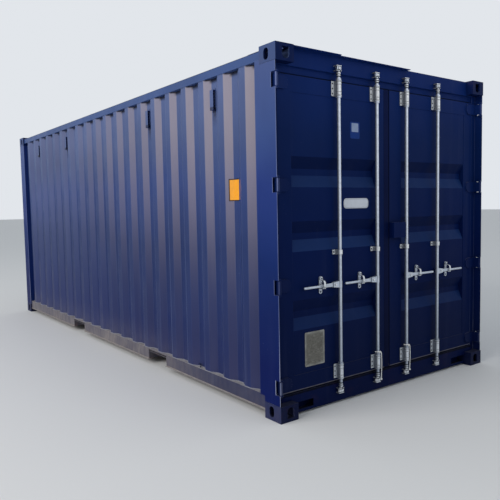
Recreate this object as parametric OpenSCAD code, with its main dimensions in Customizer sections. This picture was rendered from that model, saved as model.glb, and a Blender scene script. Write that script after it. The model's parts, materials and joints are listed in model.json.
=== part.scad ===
// Twenty foot dry freight container with two rear doors and four lock rods.
// +X runs along the length to the door end, +Y to the right hand long side
// seen from the front wall, and +Z is up. The origin is on the ground in the middle.

/* [Overall] */
// Outside length over the corner fittings
box_l = 6058; // [5200:1:7000]
// Outside width over the corner fittings
box_w = 2438; // [2300:1:2600]
// Outside height over the corner fittings
box_h = 2591; // [2450:1:2900]

/* [Corner fittings] */
// Length of a fitting along the box
fit_l = 178; // [172:1:190]
// Width of a fitting across the box
fit_w = 162; // [155:1:175]
// Height of a fitting
fit_h = 118; // [112:1:130]
// Thickness of the plate with the top or bottom slot
fit_plate = 22; // [16:1:28]
// Thickness of the other walls of a fitting
fit_wall = 15; // [10:1:20]
// Length of the top and bottom slots
slot_l = 124.5; // [110:0.5:130]
// Width of the top and bottom slots
slot_w = 63.5; // [55:0.5:66]
// Distance of the slot's middle from the end of the box
slot_from_end = 102.5; // [98:0.5:106]
// Distance of the slot's middle from the side of the box
slot_from_side = 89.5; // [85:0.5:94]
// Width of the hole in the side of a fitting
side_hole_w = 51; // [40:0.5:60]
// Width of the hole in the end of a fitting
end_hole_w = 63.5; // [50:0.5:66]
// Height of both of these holes
side_hole_h = 79.5; // [70:0.5:84]
// Height of their middle above the outer face of the slotted plate
side_hole_z = 62; // [58:0.5:64]

/* [Rails and posts] */
// How far the rails lie inside the outer side faces
rail_in = 16; // [12:1:24]
// Gap between the ground and the bottom side rails
rail_up = 52; // [40:1:60]
// Height of the bottom side rails
rail_h = 108; // [100:1:116]
// Gap between the ground and the end beams
beam_up = 16; // [10:1:24]
// Thickness of the bottom rails' steel
rail_t = 4.5; // [3:0.5:8]
// Width of the bottom rails' flanges
rail_flange = 48; // [40:1:60]
// How far the bottom flange reaches out of the rail's face
rail_lip = 10; // [4:1:12]
// Width and height of the top side rails
top_rail = 60; // [50:1:70]
// Distance from the top of the fittings down to the top side rails
top_rail_drop = 26; // [20:1:32]
// Thickness of the tube walls
tube_t = 4; // [2:0.5:6]
// Length of a door post along the box
post_l = 232; // [210:1:250]
// Depth of a post across the box
post_d = 59; // [57:1:66]
// Thickness of the post plates
post_t = 6; // [4:0.5:8]
// How far the door posts' outer plate stops short of the end of the box
post_short = 6; // [3:1:8]
// How far the door posts' inner box stops short of the end of the box
post_box_short = 79; // [76:1:90]

/* [Walls and roof] */
// Thickness of the steel sheets
sheet_t = 2; // [1.5:0.5:4]
// How far the side walls' outer flats lie inside the outer side faces
wall_in = 20; // [16:1:26]
// Depth of the side walls' folds
fold_d = 36; // [24:1:37]
// Distance from one fold of the side walls to the next
fold_pitch = 278; // [250:1:320]
// How far the folds lie from their even places toward the front
fold_shift = 20; // [0:1:30]
// Width of the side walls' outer flats
fold_flat = 72; // [50:1:90]
// Length of the side walls' slopes along the wall
fold_slope = 68; // [40:1:80]
// Distance from one fold of the front wall to the next
front_pitch = 250; // [220:1:290]
// Depth of the front wall's folds
front_d = 45; // [30:1:50]
// How far the front wall lies inside the front end
front_in = 18; // [14:1:30]
// Distance from one rib of the roof to the next
roof_pitch = 209; // [180:1:260]
// Height of the ribs of the roof
roof_rise = 16; // [10:1:18]
// Width of the flat edge along each side of the roof
roof_edge = 110; // [80:1:160]

/* [Ends] */
// How far the header and the sill lie inside the door end
header_in = 67; // [62:1:72]
// Depth of the header and the sill along the box
sill_d = 77; // [70:1:90]
// Height of the header
header_h = 169; // [150:1:190]
// Height of the header's set back lower band
band_h = 48; // [30:1:60]
// How far that band lies behind the header's face
band_in = 22; // [10:1:30]
// Distance from the top of the fittings down to the header and the front rail
header_drop = 4; // [2:1:24]
// Thickness of the plates on top of the header
top_plate_t = 6; // [4:1:8]
// How far the plate beside the left fitting reaches out of the header's face
corner_plate_out = 60; // [40:1:64]
// Length of that plate across the box
corner_plate_l = 465; // [300:1:500]
// How far the next plate reaches out of the header's face
top_plate_out = 36; // [20:1:50]
// Length of the next plate across the box
top_plate_l = 815; // [600:1:900]
// Height of the top of the door sill
sill_z = 165; // [150:1:172]
// Width of the notch in the sill beside each fitting
notch_w = 204; // [160:1:240]
// Height of the sill's strip below that notch
notch_up = 22; // [12:1:30]
// How far the notch ends below the top of the fittings
notch_drop = 26; // [10:1:40]
// Depth of that notch
notch_d = 37; // [20:1:50]

/* [Floor and pockets] */
// Thickness of the floor boards
floor_t = 28; // [20:1:34]
// Width of a crossmember
cross_w = 45; // [35:1:60]
// Thickness of a crossmember's steel
cross_t = 4; // [3:0.5:8]
// Largest distance between crossmembers
cross_gap = 305; // [260:1:340]
// Width of a fork pocket
pocket_w = 350; // [320:1:380]
// Distance between the middles of the fork pockets
pocket_gap = 2050; // [1950:1:2150]
// How far the pair of pockets lies from mid length toward the doors
pocket_shift = 155; // [0:1:180]
// Thickness of the pockets' plates
pocket_t = 6; // [4:0.5:8]
// Height of the cut in the rails above the ground
pocket_cut = 147; // [140:1:150]

/* [Doors] */
// Gap round a door leaf
leaf_gap = 10; // [7:0.5:14]
// Gap between the edge of a leaf and its post
jamb_gap = 8; // [7:0.5:12]
// Half of the gap between the leaves
mid_gap = 6; // [5:0.5:9]
// Thickness of a leaf
leaf_t = 50; // [40:1:54]
// How far the leaves' outer face lies inside the door end
leaf_in = 74; // [72:1:78]
// Width of the outer upright of a leaf
stile_out = 122; // [100:1:140]
// Width of the inner upright of a leaf
stile_in = 150; // [120:1:160]
// Height of the top and bottom bars of a leaf
leaf_bar = 116; // [90:1:130]
// How far the panel lies behind the outer face of its bars
panel_in = 3; // [1:0.5:5]
// Depth of the panel's troughs
trough_d = 36; // [20:1:38]
// Height of a whole trough
trough_h = 216; // [180:1:230]
// Height of a trough's sloped edge
trough_slope = 84; // [60:1:90]
// Height of the middle of the lowest trough
trough_z1 = 721; // [700:1:730]
// Height of the middle of the second trough
trough_z2 = 1286; // [1270:1:1300]
// Height of the middle of the upper trough
trough_z3 = 1744; // [1700:1:1800]
// How far the rubber seal stands out of a leaf's edge
seal_out = 3; // [1:0.5:4]
// Width of the rubber seal along the box
seal_w = 24; // [14:1:30]

/* [Hinges] */
// Distance of the hinge pins from the end of the box
pin_from_end = 15; // [14:0.5:17]
// Distance of the hinge pins from the side of the box
pin_from_side = 15; // [14:0.5:17]
// Radius of a hinge pin
pin_r = 8; // [5:0.5:9]
// Radius of a hinge knuckle
knuckle_r = 12; // [10.5:0.5:13]
// Thickness of the web between a knuckle and its blade
web_t = 8; // [6:0.5:12]
// How far the slot for a hinge reaches back from the pin
hinge_slot = 38; // [24:1:42]
// Height of a hinge blade
blade_h = 90; // [70:1:100]
// Thickness of a hinge blade
blade_t = 12; // [8:0.5:14]
// How far a hinge blade reaches over its leaf
blade_reach = 92; // [70:1:120]
// Thickness of a hinge lug
lug_t = 12; // [8:0.5:16]
// Height of the middle of the lowest hinge above the bottom of a leaf
hinge_from_bottom = 71; // [65:1:90]
// Distance of the middle of the highest hinge below the top of a leaf
hinge_from_top = 59; // [55:1:90]
// How far the web lies inward from the middle of the pin
web_in = 10; // [0:1:12]
// How far a hinge lug reaches back past its knuckle
lug_back = 8; // [4:1:14]

/* [Lock rods] */
// Distance of the rods' axes from the end of the box
rod_from_end = 39; // [36:0.5:42]
// Distance of the outer rods from mid width
rod_out_y = 595; // [570:1:620]
// Distance of the inner rods from mid width
rod_in_y = 179; // [170:1:190]
// Radius of a rod
rod_r = 13.5; // [12:0.5:16.5]
// Radius of a rod's ends
rod_end_r = 11; // [8:0.5:12]
// Half length of a cam
cam_r = 22; // [18:0.5:22.5]
// Thickness of a cam across its length
cam_w = 18; // [12:0.5:20]
// Height of a cam
cam_h = 20; // [16:1:26]
// Height of the middle of the lower cams
cam_low_z = 103; // [98:1:106]
// Distance from the top of the fittings down to the middle of the upper cams
cam_drop = 93; // [90:1:96]
// Half width of a keeper
keeper_w = 25; // [22:1:32]
// Thickness of a keeper's plates
keeper_t = 5; // [4:0.5:8]

/* [Brackets] */
// Radius of a bracket's sleeve
sleeve_r = 20; // [18.5:0.5:20.5]
// Radial clearance of the rods in their sleeves
sleeve_gap = 1; // [0.5:0.1:1.5]
// Height of an end bracket
bracket_h = 108; // [90:1:112]
// Height of a middle guide
guide_h = 34; // [24:1:44]
// Height of the middle guides above the ground
guide_z = 1156; // [1080:1:1160]
// Width of a bracket from the rod's axis to its far edge
bracket_w = 44; // [40:1:80]
// Width of a bracket from its sleeve to its near edge
bracket_near = 8; // [4:1:14]
// Thickness of a bracket's plate
bracket_t = 6; // [4:0.5:8]
// Height of a rod's collars
collar_h = 12; // [8:1:14]

/* [Handles] */
// Height of the handles
handle_z = 915; // [910:1:930]
// Length of a handle from the rod's axis to its tip
handle_l = 362; // [300:1:380]
// Height of a handle's bar
handle_h = 28; // [24:1:34]
// Thickness of a handle's bar
handle_t = 10; // [6:0.5:12]
// Distance of a handle's pivot from the rod's axis
pivot_y = 52; // [48:0.5:56]
// Height of the fork beside the rod
fork_h = 52; // [46:1:80]
// Height of the fork's outer end
fork_tip_h = 34; // [30:1:50]
// Radius of the pivot pins
pivot_r = 6; // [4:0.5:7]
// Distance of a retainer from the rod's axis
catch_y = 170; // [150:1:190]
// Height of a catch's pivot above the handle's axis
catch_up = 55; // [53:1:60]
// Length of a catch below its pivot
catch_l = 72; // [66:1:76]
// Depth of a catch's arm below its pivot
catch_arm = 18; // [17:0.5:20]
// Width of a catch
catch_w = 18; // [16:0.5:24]
// Thickness of a catch
catch_t = 4; // [3:0.5:5]
// Thickness of a retainer's plate
retainer_t = 6; // [4:0.5:8]
// Width of a retainer
retainer_w = 30; // [24:1:40]
// Height of a retainer's lip above its shelf
lip_h = 6; // [4:1:9]
// Distance of a retainer's eye below the handle's axis
eye_down = 44; // [40:1:60]

/* [Small parts] */
// Width of a vent
vent_w = 46; // [40:1:66]
// Height of a vent
vent_h = 156; // [140:1:200]
// Depth of a vent
vent_d = 28; // [16:1:32]
// Distance from the top of the fittings down to the middle of the vents
vent_drop = 253; // [240:1:290]
// Width of the lock box
lockbox_w = 148; // [110:1:150]
// Height of the lock box
lockbox_h = 126; // [100:1:150]
// Height of the middle of the lock box
lockbox_z = 1295; // [1250:1:1320]
// Thickness of the lock box's steel
lockbox_t = 4; // [3:0.5:6]
// Radius of the hook for a tie rope
hook_r = 5; // [3:0.5:7]
// Radius of a tie rope
rope_r = 4; // [3:0.5:4.5]

/* [Hidden] */
$fn = 48;
eps = 0.5;
pin_gap = 0.4;
slide_gap = 2;
safe_gap = 5;

end_x = box_l / 2;
side_y = box_w / 2;
rail_y = side_y - rail_in;
wall_y = side_y - wall_in;
wall_back_y = wall_y - fold_d;
rail_top = rail_up + rail_h;
fit_x = end_x - fit_l;
fit_y = side_y - fit_w;
top_rail_z = box_h - top_rail_drop - top_rail;
roof_z = top_rail_z + top_rail;
floor_y = rail_y - rail_flange;
cross_top = rail_top - floor_t;

post_x = end_x - post_l;
post_y = side_y - post_d;
post_box_x = end_x - post_box_short;

header_x = end_x - header_in;
header_top = box_h - header_drop;
header_z = header_top - header_h;
vent_z = box_h - vent_drop;
front_x = -end_x + front_in;
front_rail_x = -end_x + rail_in;
notch_top = fit_h - notch_drop;

leaf_x = end_x - leaf_in;
leaf_y = post_y - jamb_gap;
leaf_z0 = sill_z + leaf_gap;
leaf_z1 = header_z - leaf_gap;
panel_x = leaf_x - panel_in;
stile_y = leaf_y - stile_out;
inner_y = mid_gap + stile_in;

pin_x = end_x - pin_from_end;
pin_y = side_y - pin_from_side;
hinge_count = 4;
hinge_z = leaf_z0 + hinge_from_bottom;
hinge_step = (leaf_z1 - hinge_from_top - hinge_z) / (hinge_count - 1);

rod_x = end_x - rod_from_end;
cam_top_z = box_h - cam_drop;
keeper_front = rod_x + cam_w / 2;
keeper_half = cam_h / 2 + safe_gap + keeper_t;
rod_z0 = cam_low_z + keeper_half + safe_gap;
rod_z1 = cam_top_z - keeper_half - safe_gap;
bracket_low_z = leaf_z0 + leaf_bar / 2 + 19;
bracket_top_z = leaf_z1 - leaf_bar / 2 + 4;
hub_r = rod_r + 2;
cheek_t = 5;
handle_x = rod_x - 5;
lip_x = handle_x + handle_t / 2 + 3;
lip_t = 4;
catch_x = lip_x + lip_t + safe_gap;
catch_z = handle_z + catch_up;
bolt_r = pivot_r + 4;
retainer_x = panel_x + retainer_t;
ring_r = pivot_r + 7;
ring_x = retainer_x + 1;
ring_t = 6;
lockbox_x = rod_x + knuckle_r + slide_gap / 2;
vent_places = [-8, -4, 4, 8];
hook_place = 7;

// Points of a tie rope from its loop to its knot, measured from the rod's axis.
loop_r = rod_r + rope_r + 1.5;
loop_rise = 2 * rope_r + 3;
loop_points = [for (i = [0 : 12]) [loop_r * cos(30 * i), loop_r * sin(30 * i), loop_rise * i / 12]];
function rope_points(drop) = concat(loop_points, [
    [19, 12, loop_rise], [15, 24, loop_rise - 4], [9, 34, -6], [5, 40, -26], [3, 42, -52],
    [2, 43, -0.4 * drop], [2, 43, -0.6 * drop], [3, 42, -0.8 * drop], [2, 43, -drop]]);
rope_left_drop = 218;
rope_right_drop = 204;

blue = "#1b2f63";
steel = "#b9bcbd";

// A block between two corners.
module block(a, b) {
    translate([min(a[0], b[0]), min(a[1], b[1]), min(a[2], b[2])])
        cube([abs(b[0] - a[0]), abs(b[1] - a[1]), abs(b[2] - a[2])]);
}

// The same piece on both long sides.
module both_sides() {
    children();
    mirror([0, 1, 0]) children();
}

// A flat slot with round ends, its long way along X.
module slot_shape(l, w) {
    square([l - w, w], center = true);
    for (s = [-1, 1]) translate([s * (l - w) / 2, 0]) circle(d = w);
}

// A corner fitting with its slotted plate down, for the corner at +X and -Y.
module corner_fitting() {
    difference() {
        block([fit_x, -side_y, 0], [end_x, -fit_y, fit_h]);
        block([fit_x + fit_wall, -side_y + fit_wall, fit_plate],
            [end_x - fit_wall, -fit_y - fit_wall, fit_h - fit_wall]);
        translate([end_x - slot_from_end, -side_y + slot_from_side, -eps])
            linear_extrude(fit_plate + 2 * eps) slot_shape(slot_l, slot_w);
        translate([end_x - slot_from_end, -side_y + fit_wall + eps, side_hole_z])
            rotate([90, 90, 0])
                linear_extrude(fit_wall + 2 * eps) slot_shape(side_hole_h, side_hole_w);
        translate([end_x - fit_wall - eps, -side_y + slot_from_side, side_hole_z])
            rotate([90, 0, 90]) linear_extrude(fit_wall + 2 * eps) end_hole_shape();
    }
}

// The hole in the end of a fitting, round at its top and square below.
module end_hole_shape() {
    rise = (side_hole_h - end_hole_w) / 2;
    translate([0, rise]) circle(d = end_hole_w);
    translate([-end_hole_w / 2, -side_hole_h / 2]) square([end_hole_w, side_hole_h / 2 + rise]);
}

module four_corners() {
    both_sides() {
        children();
        mirror([1, 0, 0]) children();
    }
}

module bottom_corner_fittings() {
    color(blue) four_corners() corner_fitting();
}

module top_corner_fittings() {
    color(blue) translate([0, 0, box_h]) mirror([0, 0, 1]) four_corners() corner_fitting();
}

// The space of all fittings, cut out of the beams and posts that meet them.
module fitting_space() {
    four_corners() for (z = [0, box_h - fit_h])
        block([fit_x, -side_y - eps, z - eps], [end_x + eps, -fit_y, z + fit_h + eps]);
}

// Door post at -Y: an outer plate notched for the hinges, and an inner box.
module door_post() {
    z0 = fit_h;
    z1 = top_rail_z;
    difference() {
        union() {
            block([post_x, -side_y, z0], [end_x - post_short, -side_y + post_t, z1]);
            difference() {
                block([post_x, -side_y + post_t, z0], [post_box_x, -post_y, z1]);
                block([post_x + post_t, -side_y + post_t - eps, z0 - eps],
                    [post_box_x - post_t, -post_y - post_t, z1 + eps]);
            }
        }
        for (z = [0, box_h - fit_h])
            block([fit_x, -side_y - eps, z], [end_x + eps, -fit_y, z + fit_h]);
        block([post_x - eps, -side_y - eps, 0], [fit_x, -fit_y, rail_top]);
        for (i = [0 : hinge_count - 1])
            block([pin_x - hinge_slot, -side_y - eps, hinge_at(i) - blade_h / 2 - 6],
                [end_x, -side_y + post_t + eps, hinge_at(i) + blade_h / 2 + 6]);
    }
}

function hinge_at(i) = hinge_z + i * hinge_step;

module front_post() {
    difference() {
        block([-end_x, -side_y, fit_h], [-fit_x, -post_y, box_h - fit_h]);
        block([-end_x + post_t, -side_y + post_t, fit_h - eps],
            [-fit_x - post_t, -post_y - post_t, box_h - fit_h + eps]);
    }
}

module door_post_left() { color(blue) door_post(); }
module door_post_right() { color(blue) mirror([0, 1, 0]) door_post(); }
module front_post_left() { color(blue) front_post(); }
module front_post_right() { color(blue) mirror([0, 1, 0]) front_post(); }

// A hollow beam across an end, cut back where the fittings stand.
module end_beam(x0, x1, z0, z1) {
    difference() {
        block([x0, -post_y, z0], [x1, post_y, z1]);
        block([x0 + tube_t, -post_y - eps, z0 + tube_t], [x1 - tube_t, post_y + eps, z1 - tube_t]);
        fitting_space();
    }
}

// The header's section seen from the side, drawn in by t all round.
module header_section(t) {
    x2 = header_x - t;
    x1 = header_x - band_in - t;
    z1 = header_z + band_h + t;
    polygon([[fit_x + t, header_z + t], [x1, header_z + t], [x1, z1], [x2, z1],
        [x2, header_top - t], [fit_x + t, header_top - t]]);
}

module door_header() {
    z0 = header_top - top_plate_t / 2;
    y1 = -fit_y + corner_plate_l;
    color(blue) difference() {
        union() {
            translate([0, post_y, 0]) rotate([90, 0, 0]) linear_extrude(2 * post_y) header_section(0);
            block([header_x - 20, -fit_y - eps, z0], [header_x + corner_plate_out, y1, z0 + top_plate_t]);
            block([header_x - 20, y1 - eps, z0],
                [header_x + top_plate_out, y1 + top_plate_l, z0 + top_plate_t]);
        }
        translate([0, post_y + eps, 0]) rotate([90, 0, 0])
            linear_extrude(2 * (post_y + eps)) header_section(tube_t);
        fitting_space();
    }
}

module door_sill() {
    color(blue) difference() {
        end_beam(header_x - sill_d, header_x, beam_up, sill_z);
        both_sides() block([header_x - notch_d, -fit_y - eps, beam_up + notch_up],
            [header_x + eps, -fit_y + notch_w, notch_top]);
    }
}

module front_top_rail() {
    color(blue) end_beam(front_rail_x, -fit_x, box_h - fit_h, header_top);
}

module front_bottom_rail() {
    color(blue) end_beam(front_rail_x, front_rail_x + top_rail, beam_up, rail_top);
}

// Top side rail at -Y, a square tube between the fittings.
module top_side_rail() {
    difference() {
        block([-fit_x, -rail_y, top_rail_z], [fit_x, -rail_y + top_rail, roof_z]);
        block([-fit_x - eps, -rail_y + tube_t, top_rail_z + tube_t],
            [fit_x + eps, -rail_y + top_rail - tube_t, roof_z - tube_t]);
    }
}

module top_rail_left() { color(blue) top_side_rail(); }
module top_rail_right() { color(blue) mirror([0, 1, 0]) top_side_rail(); }

// Bottom side rail at -Y: a channel with its web outside, cut away at the fork pockets.
module bottom_side_rail() {
    difference() {
        union() {
            block([-fit_x, -rail_y, rail_up], [fit_x, -rail_y + rail_t, rail_top]);
            block([-fit_x, -rail_y, rail_top - rail_t], [fit_x, -floor_y, rail_top]);
            block([-fit_x, -rail_y - rail_lip, rail_up], [fit_x, -floor_y, rail_up + rail_t]);
        }
        for (x = pocket_xs())
            block([x - pocket_w / 2, -side_y, rail_up - eps], [x + pocket_w / 2, -floor_y + eps, pocket_cut]);
    }
}

function pocket_xs() = [for (s = [-1, 1]) pocket_shift + s * pocket_gap / 2];

module bottom_rail_left() { color(blue) bottom_side_rail(); }
module bottom_rail_right() { color(blue) mirror([0, 1, 0]) bottom_side_rail(); }

// Places of the crossmembers, with none where a pocket is.
cross_x0 = front_rail_x + top_rail;
cross_x1 = header_x - sill_d;
cross_n = ceil((cross_x1 - cross_x0) / cross_gap);
cross_xs = [for (i = [1 : cross_n - 1])
    let (x = cross_x0 + i * (cross_x1 - cross_x0) / cross_n)
    if (min([for (p = pocket_xs()) abs(x - p)]) > pocket_w / 2 + pocket_t + cross_w + safe_gap) x];

module crossmembers() {
    z0 = rail_up + rail_t;
    color(blue) for (x = cross_xs) difference() {
        block([x, -rail_y + rail_t, z0], [x + cross_w, rail_y - rail_t, cross_top]);
        block([x + cross_t, -rail_y, z0 + cross_t], [x + cross_w + eps, rail_y, cross_top - cross_t]);
    }
}

// Each pocket is two side plates and a top plate between them, open below.
module pocket_sides() {
    y = rail_y - rail_t;
    color(blue) for (x = pocket_xs(), s = [-1, 1])
        block([x + s * pocket_w / 2, -y, rail_up + rail_t],
            [x + s * (pocket_w / 2 + pocket_t), y, cross_top]);
}

module pocket_tops() {
    y = rail_y - rail_t;
    color(blue) for (x = pocket_xs())
        block([x - pocket_w / 2, -y, cross_top - pocket_t], [x + pocket_w / 2, y, cross_top]);
}

module floor() {
    color("#8a6a48") block([cross_x0, -floor_y, cross_top], [cross_x1, floor_y, rail_top]);
}

// Outline of a folded sheet: flats at 0 with raised folds of height d, from a to b.
function fold_points(a, b, pitch, flat, slope, d, shift = 0) =
    let (foot = flat / 2 + slope,
        n = floor((min(-a, b) - foot - shift - pitch / 2) / pitch))
    concat([[a, 0]],
        [for (i = [-n - 1 : n]) let (c = (i + 0.5) * pitch - shift)
            each [[c - foot, 0], [c - flat / 2, d], [c + flat / 2, d], [c + foot, 0]]],
        [[b, 0]]);

// A sheet of thickness t whose inner face is the folded outline moved back.
module folded_sheet(a, b, pitch, flat, slope, d, t, shift = 0) {
    p = fold_points(a, b, pitch, flat, slope, d, shift);
    polygon(concat(p, [for (i = [len(p) - 1 : -1 : 0]) [p[i][0], p[i][1] - t]]));
}

module side_wall() {
    mirror([0, 1, 0]) translate([0, wall_back_y, rail_top])
        linear_extrude(top_rail_z - rail_top)
            folded_sheet(-fit_x, post_x, fold_pitch, fold_flat, fold_slope, fold_d, sheet_t,
                fold_shift);
}

module side_wall_left() { color(blue) side_wall(); }
module side_wall_right() { color(blue) mirror([0, 1, 0]) side_wall(); }

module front_wall() {
    color(blue) translate([front_x + front_d, 0, rail_top]) rotate([0, 0, 90])
        linear_extrude(box_h - fit_h - rail_top)
            folded_sheet(-post_y, post_y, front_pitch, front_pitch * 0.44, front_pitch * 0.1,
                front_d, sheet_t);
}

module roof() {
    rib_y = rail_y - roof_edge;
    p = fold_points(-fit_x, fit_x, roof_pitch, roof_pitch * 0.4, roof_pitch * 0.1, roof_rise);
    color(blue) {
        translate([0, rib_y, roof_z + sheet_t]) rotate([90, 0, 0])
            linear_extrude(2 * rib_y)
                folded_sheet(-fit_x, fit_x, roof_pitch, roof_pitch * 0.4, roof_pitch * 0.1,
                    roof_rise, sheet_t);
        both_sides() {
            block([-fit_x, -rail_y, roof_z], [fit_x, -rib_y, roof_z + sheet_t]);
            translate([0, -rib_y, roof_z + sheet_t]) rotate([90, 0, 0])
                linear_extrude(sheet_t) polygon(concat(p, [[fit_x, -sheet_t], [-fit_x, -sheet_t]]));
        }
    }
}

// Places of the four rods across the doors. Rods 1 and 2 are on the left leaf.
rod_ys = [-rod_out_y, -rod_in_y, rod_in_y, rod_out_y];
function hand(i) = i < 2 ? -1 : 1;

// Keeper of the cam at height zc: a plate past the rod's end and two plates beside it.
module keeper(y, zc, up) {
    half = keeper_half;
    translate([0, y, zc]) {
        block([header_x, -keeper_w, up * half], [keeper_front, keeper_w, up * (half - keeper_t)]);
        for (s = [-1, 1])
            block([header_x, s * (rod_end_r + safe_gap), -up * half],
                [keeper_front, s * keeper_w, -up * (half - keeper_t)]);
    }
}

module cam_keepers() {
    color(steel) for (y = rod_ys) {
        keeper(y, cam_low_z, -1);
        keeper(y, cam_top_z, 1);
    }
}

// Lugs and pin of one hinge at -Y.
module hinge_lug(z) {
    half = blade_h / 2 + slide_gap;
    for (s = [-1, 1])
        block([pin_x - knuckle_r - lug_back, -side_y + post_t, z + s * half],
            [pin_x + knuckle_r, -pin_y + knuckle_r, z + s * (half + lug_t)]);
    translate([pin_x, -pin_y, z - half - lug_t]) cylinder(r = pin_r, h = 2 * (half + lug_t));
}

module hinge_lugs() {
    color(blue) both_sides() for (i = [0 : hinge_count - 1]) hinge_lug(hinge_at(i));
}

module vents() {
    color(blue) both_sides() for (k = vent_places)
        translate([k * fold_pitch - fold_shift, 0, vent_z]) difference() {
            block([-vent_w / 2, -wall_back_y, -vent_h / 2],
                [vent_w / 2, -wall_back_y - vent_d, vent_h / 2]);
            block([0, -wall_back_y - 4, -vent_h / 2 + 8],
                [vent_w / 2 + eps, -wall_back_y - vent_d + 4, vent_h / 2 - 8]);
        }
}

// A bent pin on the ledge of the bottom rail, for the tie rope of an open door.
module rope_hooks() {
    y = (wall_back_y + rail_y) / 2;
    color(blue) both_sides() translate([hook_place * fold_pitch - fold_shift, -y, rail_top]) {
        cylinder(r = hook_r, h = 34);
        translate([0, 0, 29]) rotate([0, -90, 0]) cylinder(r = hook_r, h = 24);
    }
}

// Hollow bars round the left leaf.
module leaf_frame() {
    difference() {
        block([leaf_x - leaf_t, -leaf_y, leaf_z0], [leaf_x, -mid_gap, leaf_z1]);
        block([leaf_x - leaf_t - eps, -stile_y, leaf_z0 + leaf_bar],
            [leaf_x + eps, -inner_y, leaf_z1 - leaf_bar]);
        difference() {
            block([leaf_x - leaf_t + tube_t, -leaf_y + tube_t, leaf_z0 + tube_t],
                [leaf_x - tube_t, -mid_gap - tube_t, leaf_z1 - tube_t]);
            block([leaf_x - leaf_t, -stile_y - tube_t, leaf_z0 + leaf_bar - tube_t],
                [leaf_x, -inner_y + tube_t, leaf_z1 - leaf_bar + tube_t]);
        }
    }
}

// Pressed panel of the left leaf with three troughs across it.
module leaf_panel() {
    z0 = leaf_z0 + leaf_bar;
    z1 = leaf_z1 - leaf_bar;
    half = trough_h / 2;
    flat = half - trough_slope;
    p = concat([[panel_x, z0]],
        [for (z = [trough_z1, trough_z2, trough_z3])
            each [[panel_x, z - half], [panel_x - trough_d, z - flat],
                [panel_x - trough_d, z + flat], [panel_x, z + half]]],
        [[panel_x, z1]]);
    translate([0, -inner_y, 0]) rotate([90, 0, 0]) linear_extrude(stile_y - inner_y)
        polygon(concat(p, [for (i = [len(p) - 1 : -1 : 0]) [p[i][0] - sheet_t, p[i][1]]]));
}

// Rubber strip along the top, bottom and outer edges of the left leaf.
module leaf_seal() {
    x0 = leaf_x - slide_gap - seal_w;
    difference() {
        block([x0, -leaf_y - seal_out, leaf_z0 - seal_out], [x0 + seal_w, -mid_gap, leaf_z1 + seal_out]);
        block([x0 - eps, -leaf_y, leaf_z0], [x0 + seal_w + eps, -mid_gap + eps, leaf_z1]);
    }
}

// Blades of the left leaf: a knuckle, a web and a plate on the outer upright.
module leaf_hinges() {
    web_y = -pin_y + web_in;
    for (i = [0 : hinge_count - 1]) translate([0, 0, hinge_at(i)]) difference() {
        union() {
            translate([pin_x, -pin_y, -blade_h / 2]) cylinder(r = knuckle_r, h = blade_h);
            block([leaf_x, web_y - web_t / 2, -blade_h / 2], [pin_x, web_y + web_t / 2, blade_h / 2]);
            block([leaf_x, web_y - web_t / 2, -blade_h / 2],
                [leaf_x + blade_t, -leaf_y + blade_reach - blade_h / 2, blade_h / 2]);
            translate([leaf_x, -leaf_y + blade_reach - blade_h / 2, 0]) rotate([0, 90, 0])
                cylinder(r = blade_h / 2, h = blade_t);
        }
        translate([pin_x, -pin_y, -blade_h / 2 - eps])
            cylinder(r = pin_r + pin_gap, h = blade_h + 2 * eps);
    }
}

// A bracket that holds the rod at y, with its plate on the -Y side.
module bracket(y, z, h, face) {
    translate([0, y, z - h / 2]) difference() {
        union() {
            block([face, -bracket_w, 0], [face + bracket_t, sleeve_r + bracket_near, h]);
            block([face, -sleeve_r, 0], [rod_x, sleeve_r / 2, h]);
            translate([rod_x, 0, 0]) cylinder(r = sleeve_r, h = h);
        }
        translate([rod_x, 0, -eps]) cylinder(r = rod_r + sleeve_gap, h = h + 2 * eps);
    }
}

module rod_brackets(ys) {
    for (y = ys) {
        bracket(y, bracket_low_z, bracket_h, leaf_x);
        bracket(y, guide_z, guide_h, abs(y) == rod_in_y ? leaf_x : panel_x);
        bracket(y, bracket_top_z, bracket_h, leaf_x);
    }
}

// Retainer for the handle of rod i: a plate with an eye, a lipped shelf and the catch's bolt.
module retainer(i) {
    shelf = handle_z - handle_h / 2 + 1;
    eye = handle_z - eye_down;
    translate([0, rod_ys[i] + hand(i) * catch_y, 0]) {
        difference() {
            union() {
                block([panel_x, -retainer_w / 2, eye], [retainer_x, retainer_w / 2, catch_z]);
                for (z = [eye, catch_z])
                    translate([panel_x, 0, z]) rotate([0, 90, 0]) cylinder(r = retainer_w / 2, h = retainer_t);
            }
            translate([panel_x - eps, 0, eye]) rotate([0, 90, 0])
                cylinder(r = retainer_w / 4, h = retainer_t + 2 * eps);
        }
        block([panel_x, -retainer_w / 2, shelf - retainer_t], [lip_x + lip_t, retainer_w / 2, shelf]);
        block([lip_x, -retainer_w / 2, shelf - retainer_t], [lip_x + lip_t, retainer_w / 2, shelf + lip_h]);
        translate([panel_x, 0, catch_z]) rotate([0, 90, 0]) {
            cylinder(r = pivot_r, h = ring_x + ring_t + 2 * eps - panel_x);
            translate([0, 0, ring_x + ring_t + eps - panel_x]) cylinder(r = bolt_r, h = catch_t);
        }
    }
}

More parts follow.
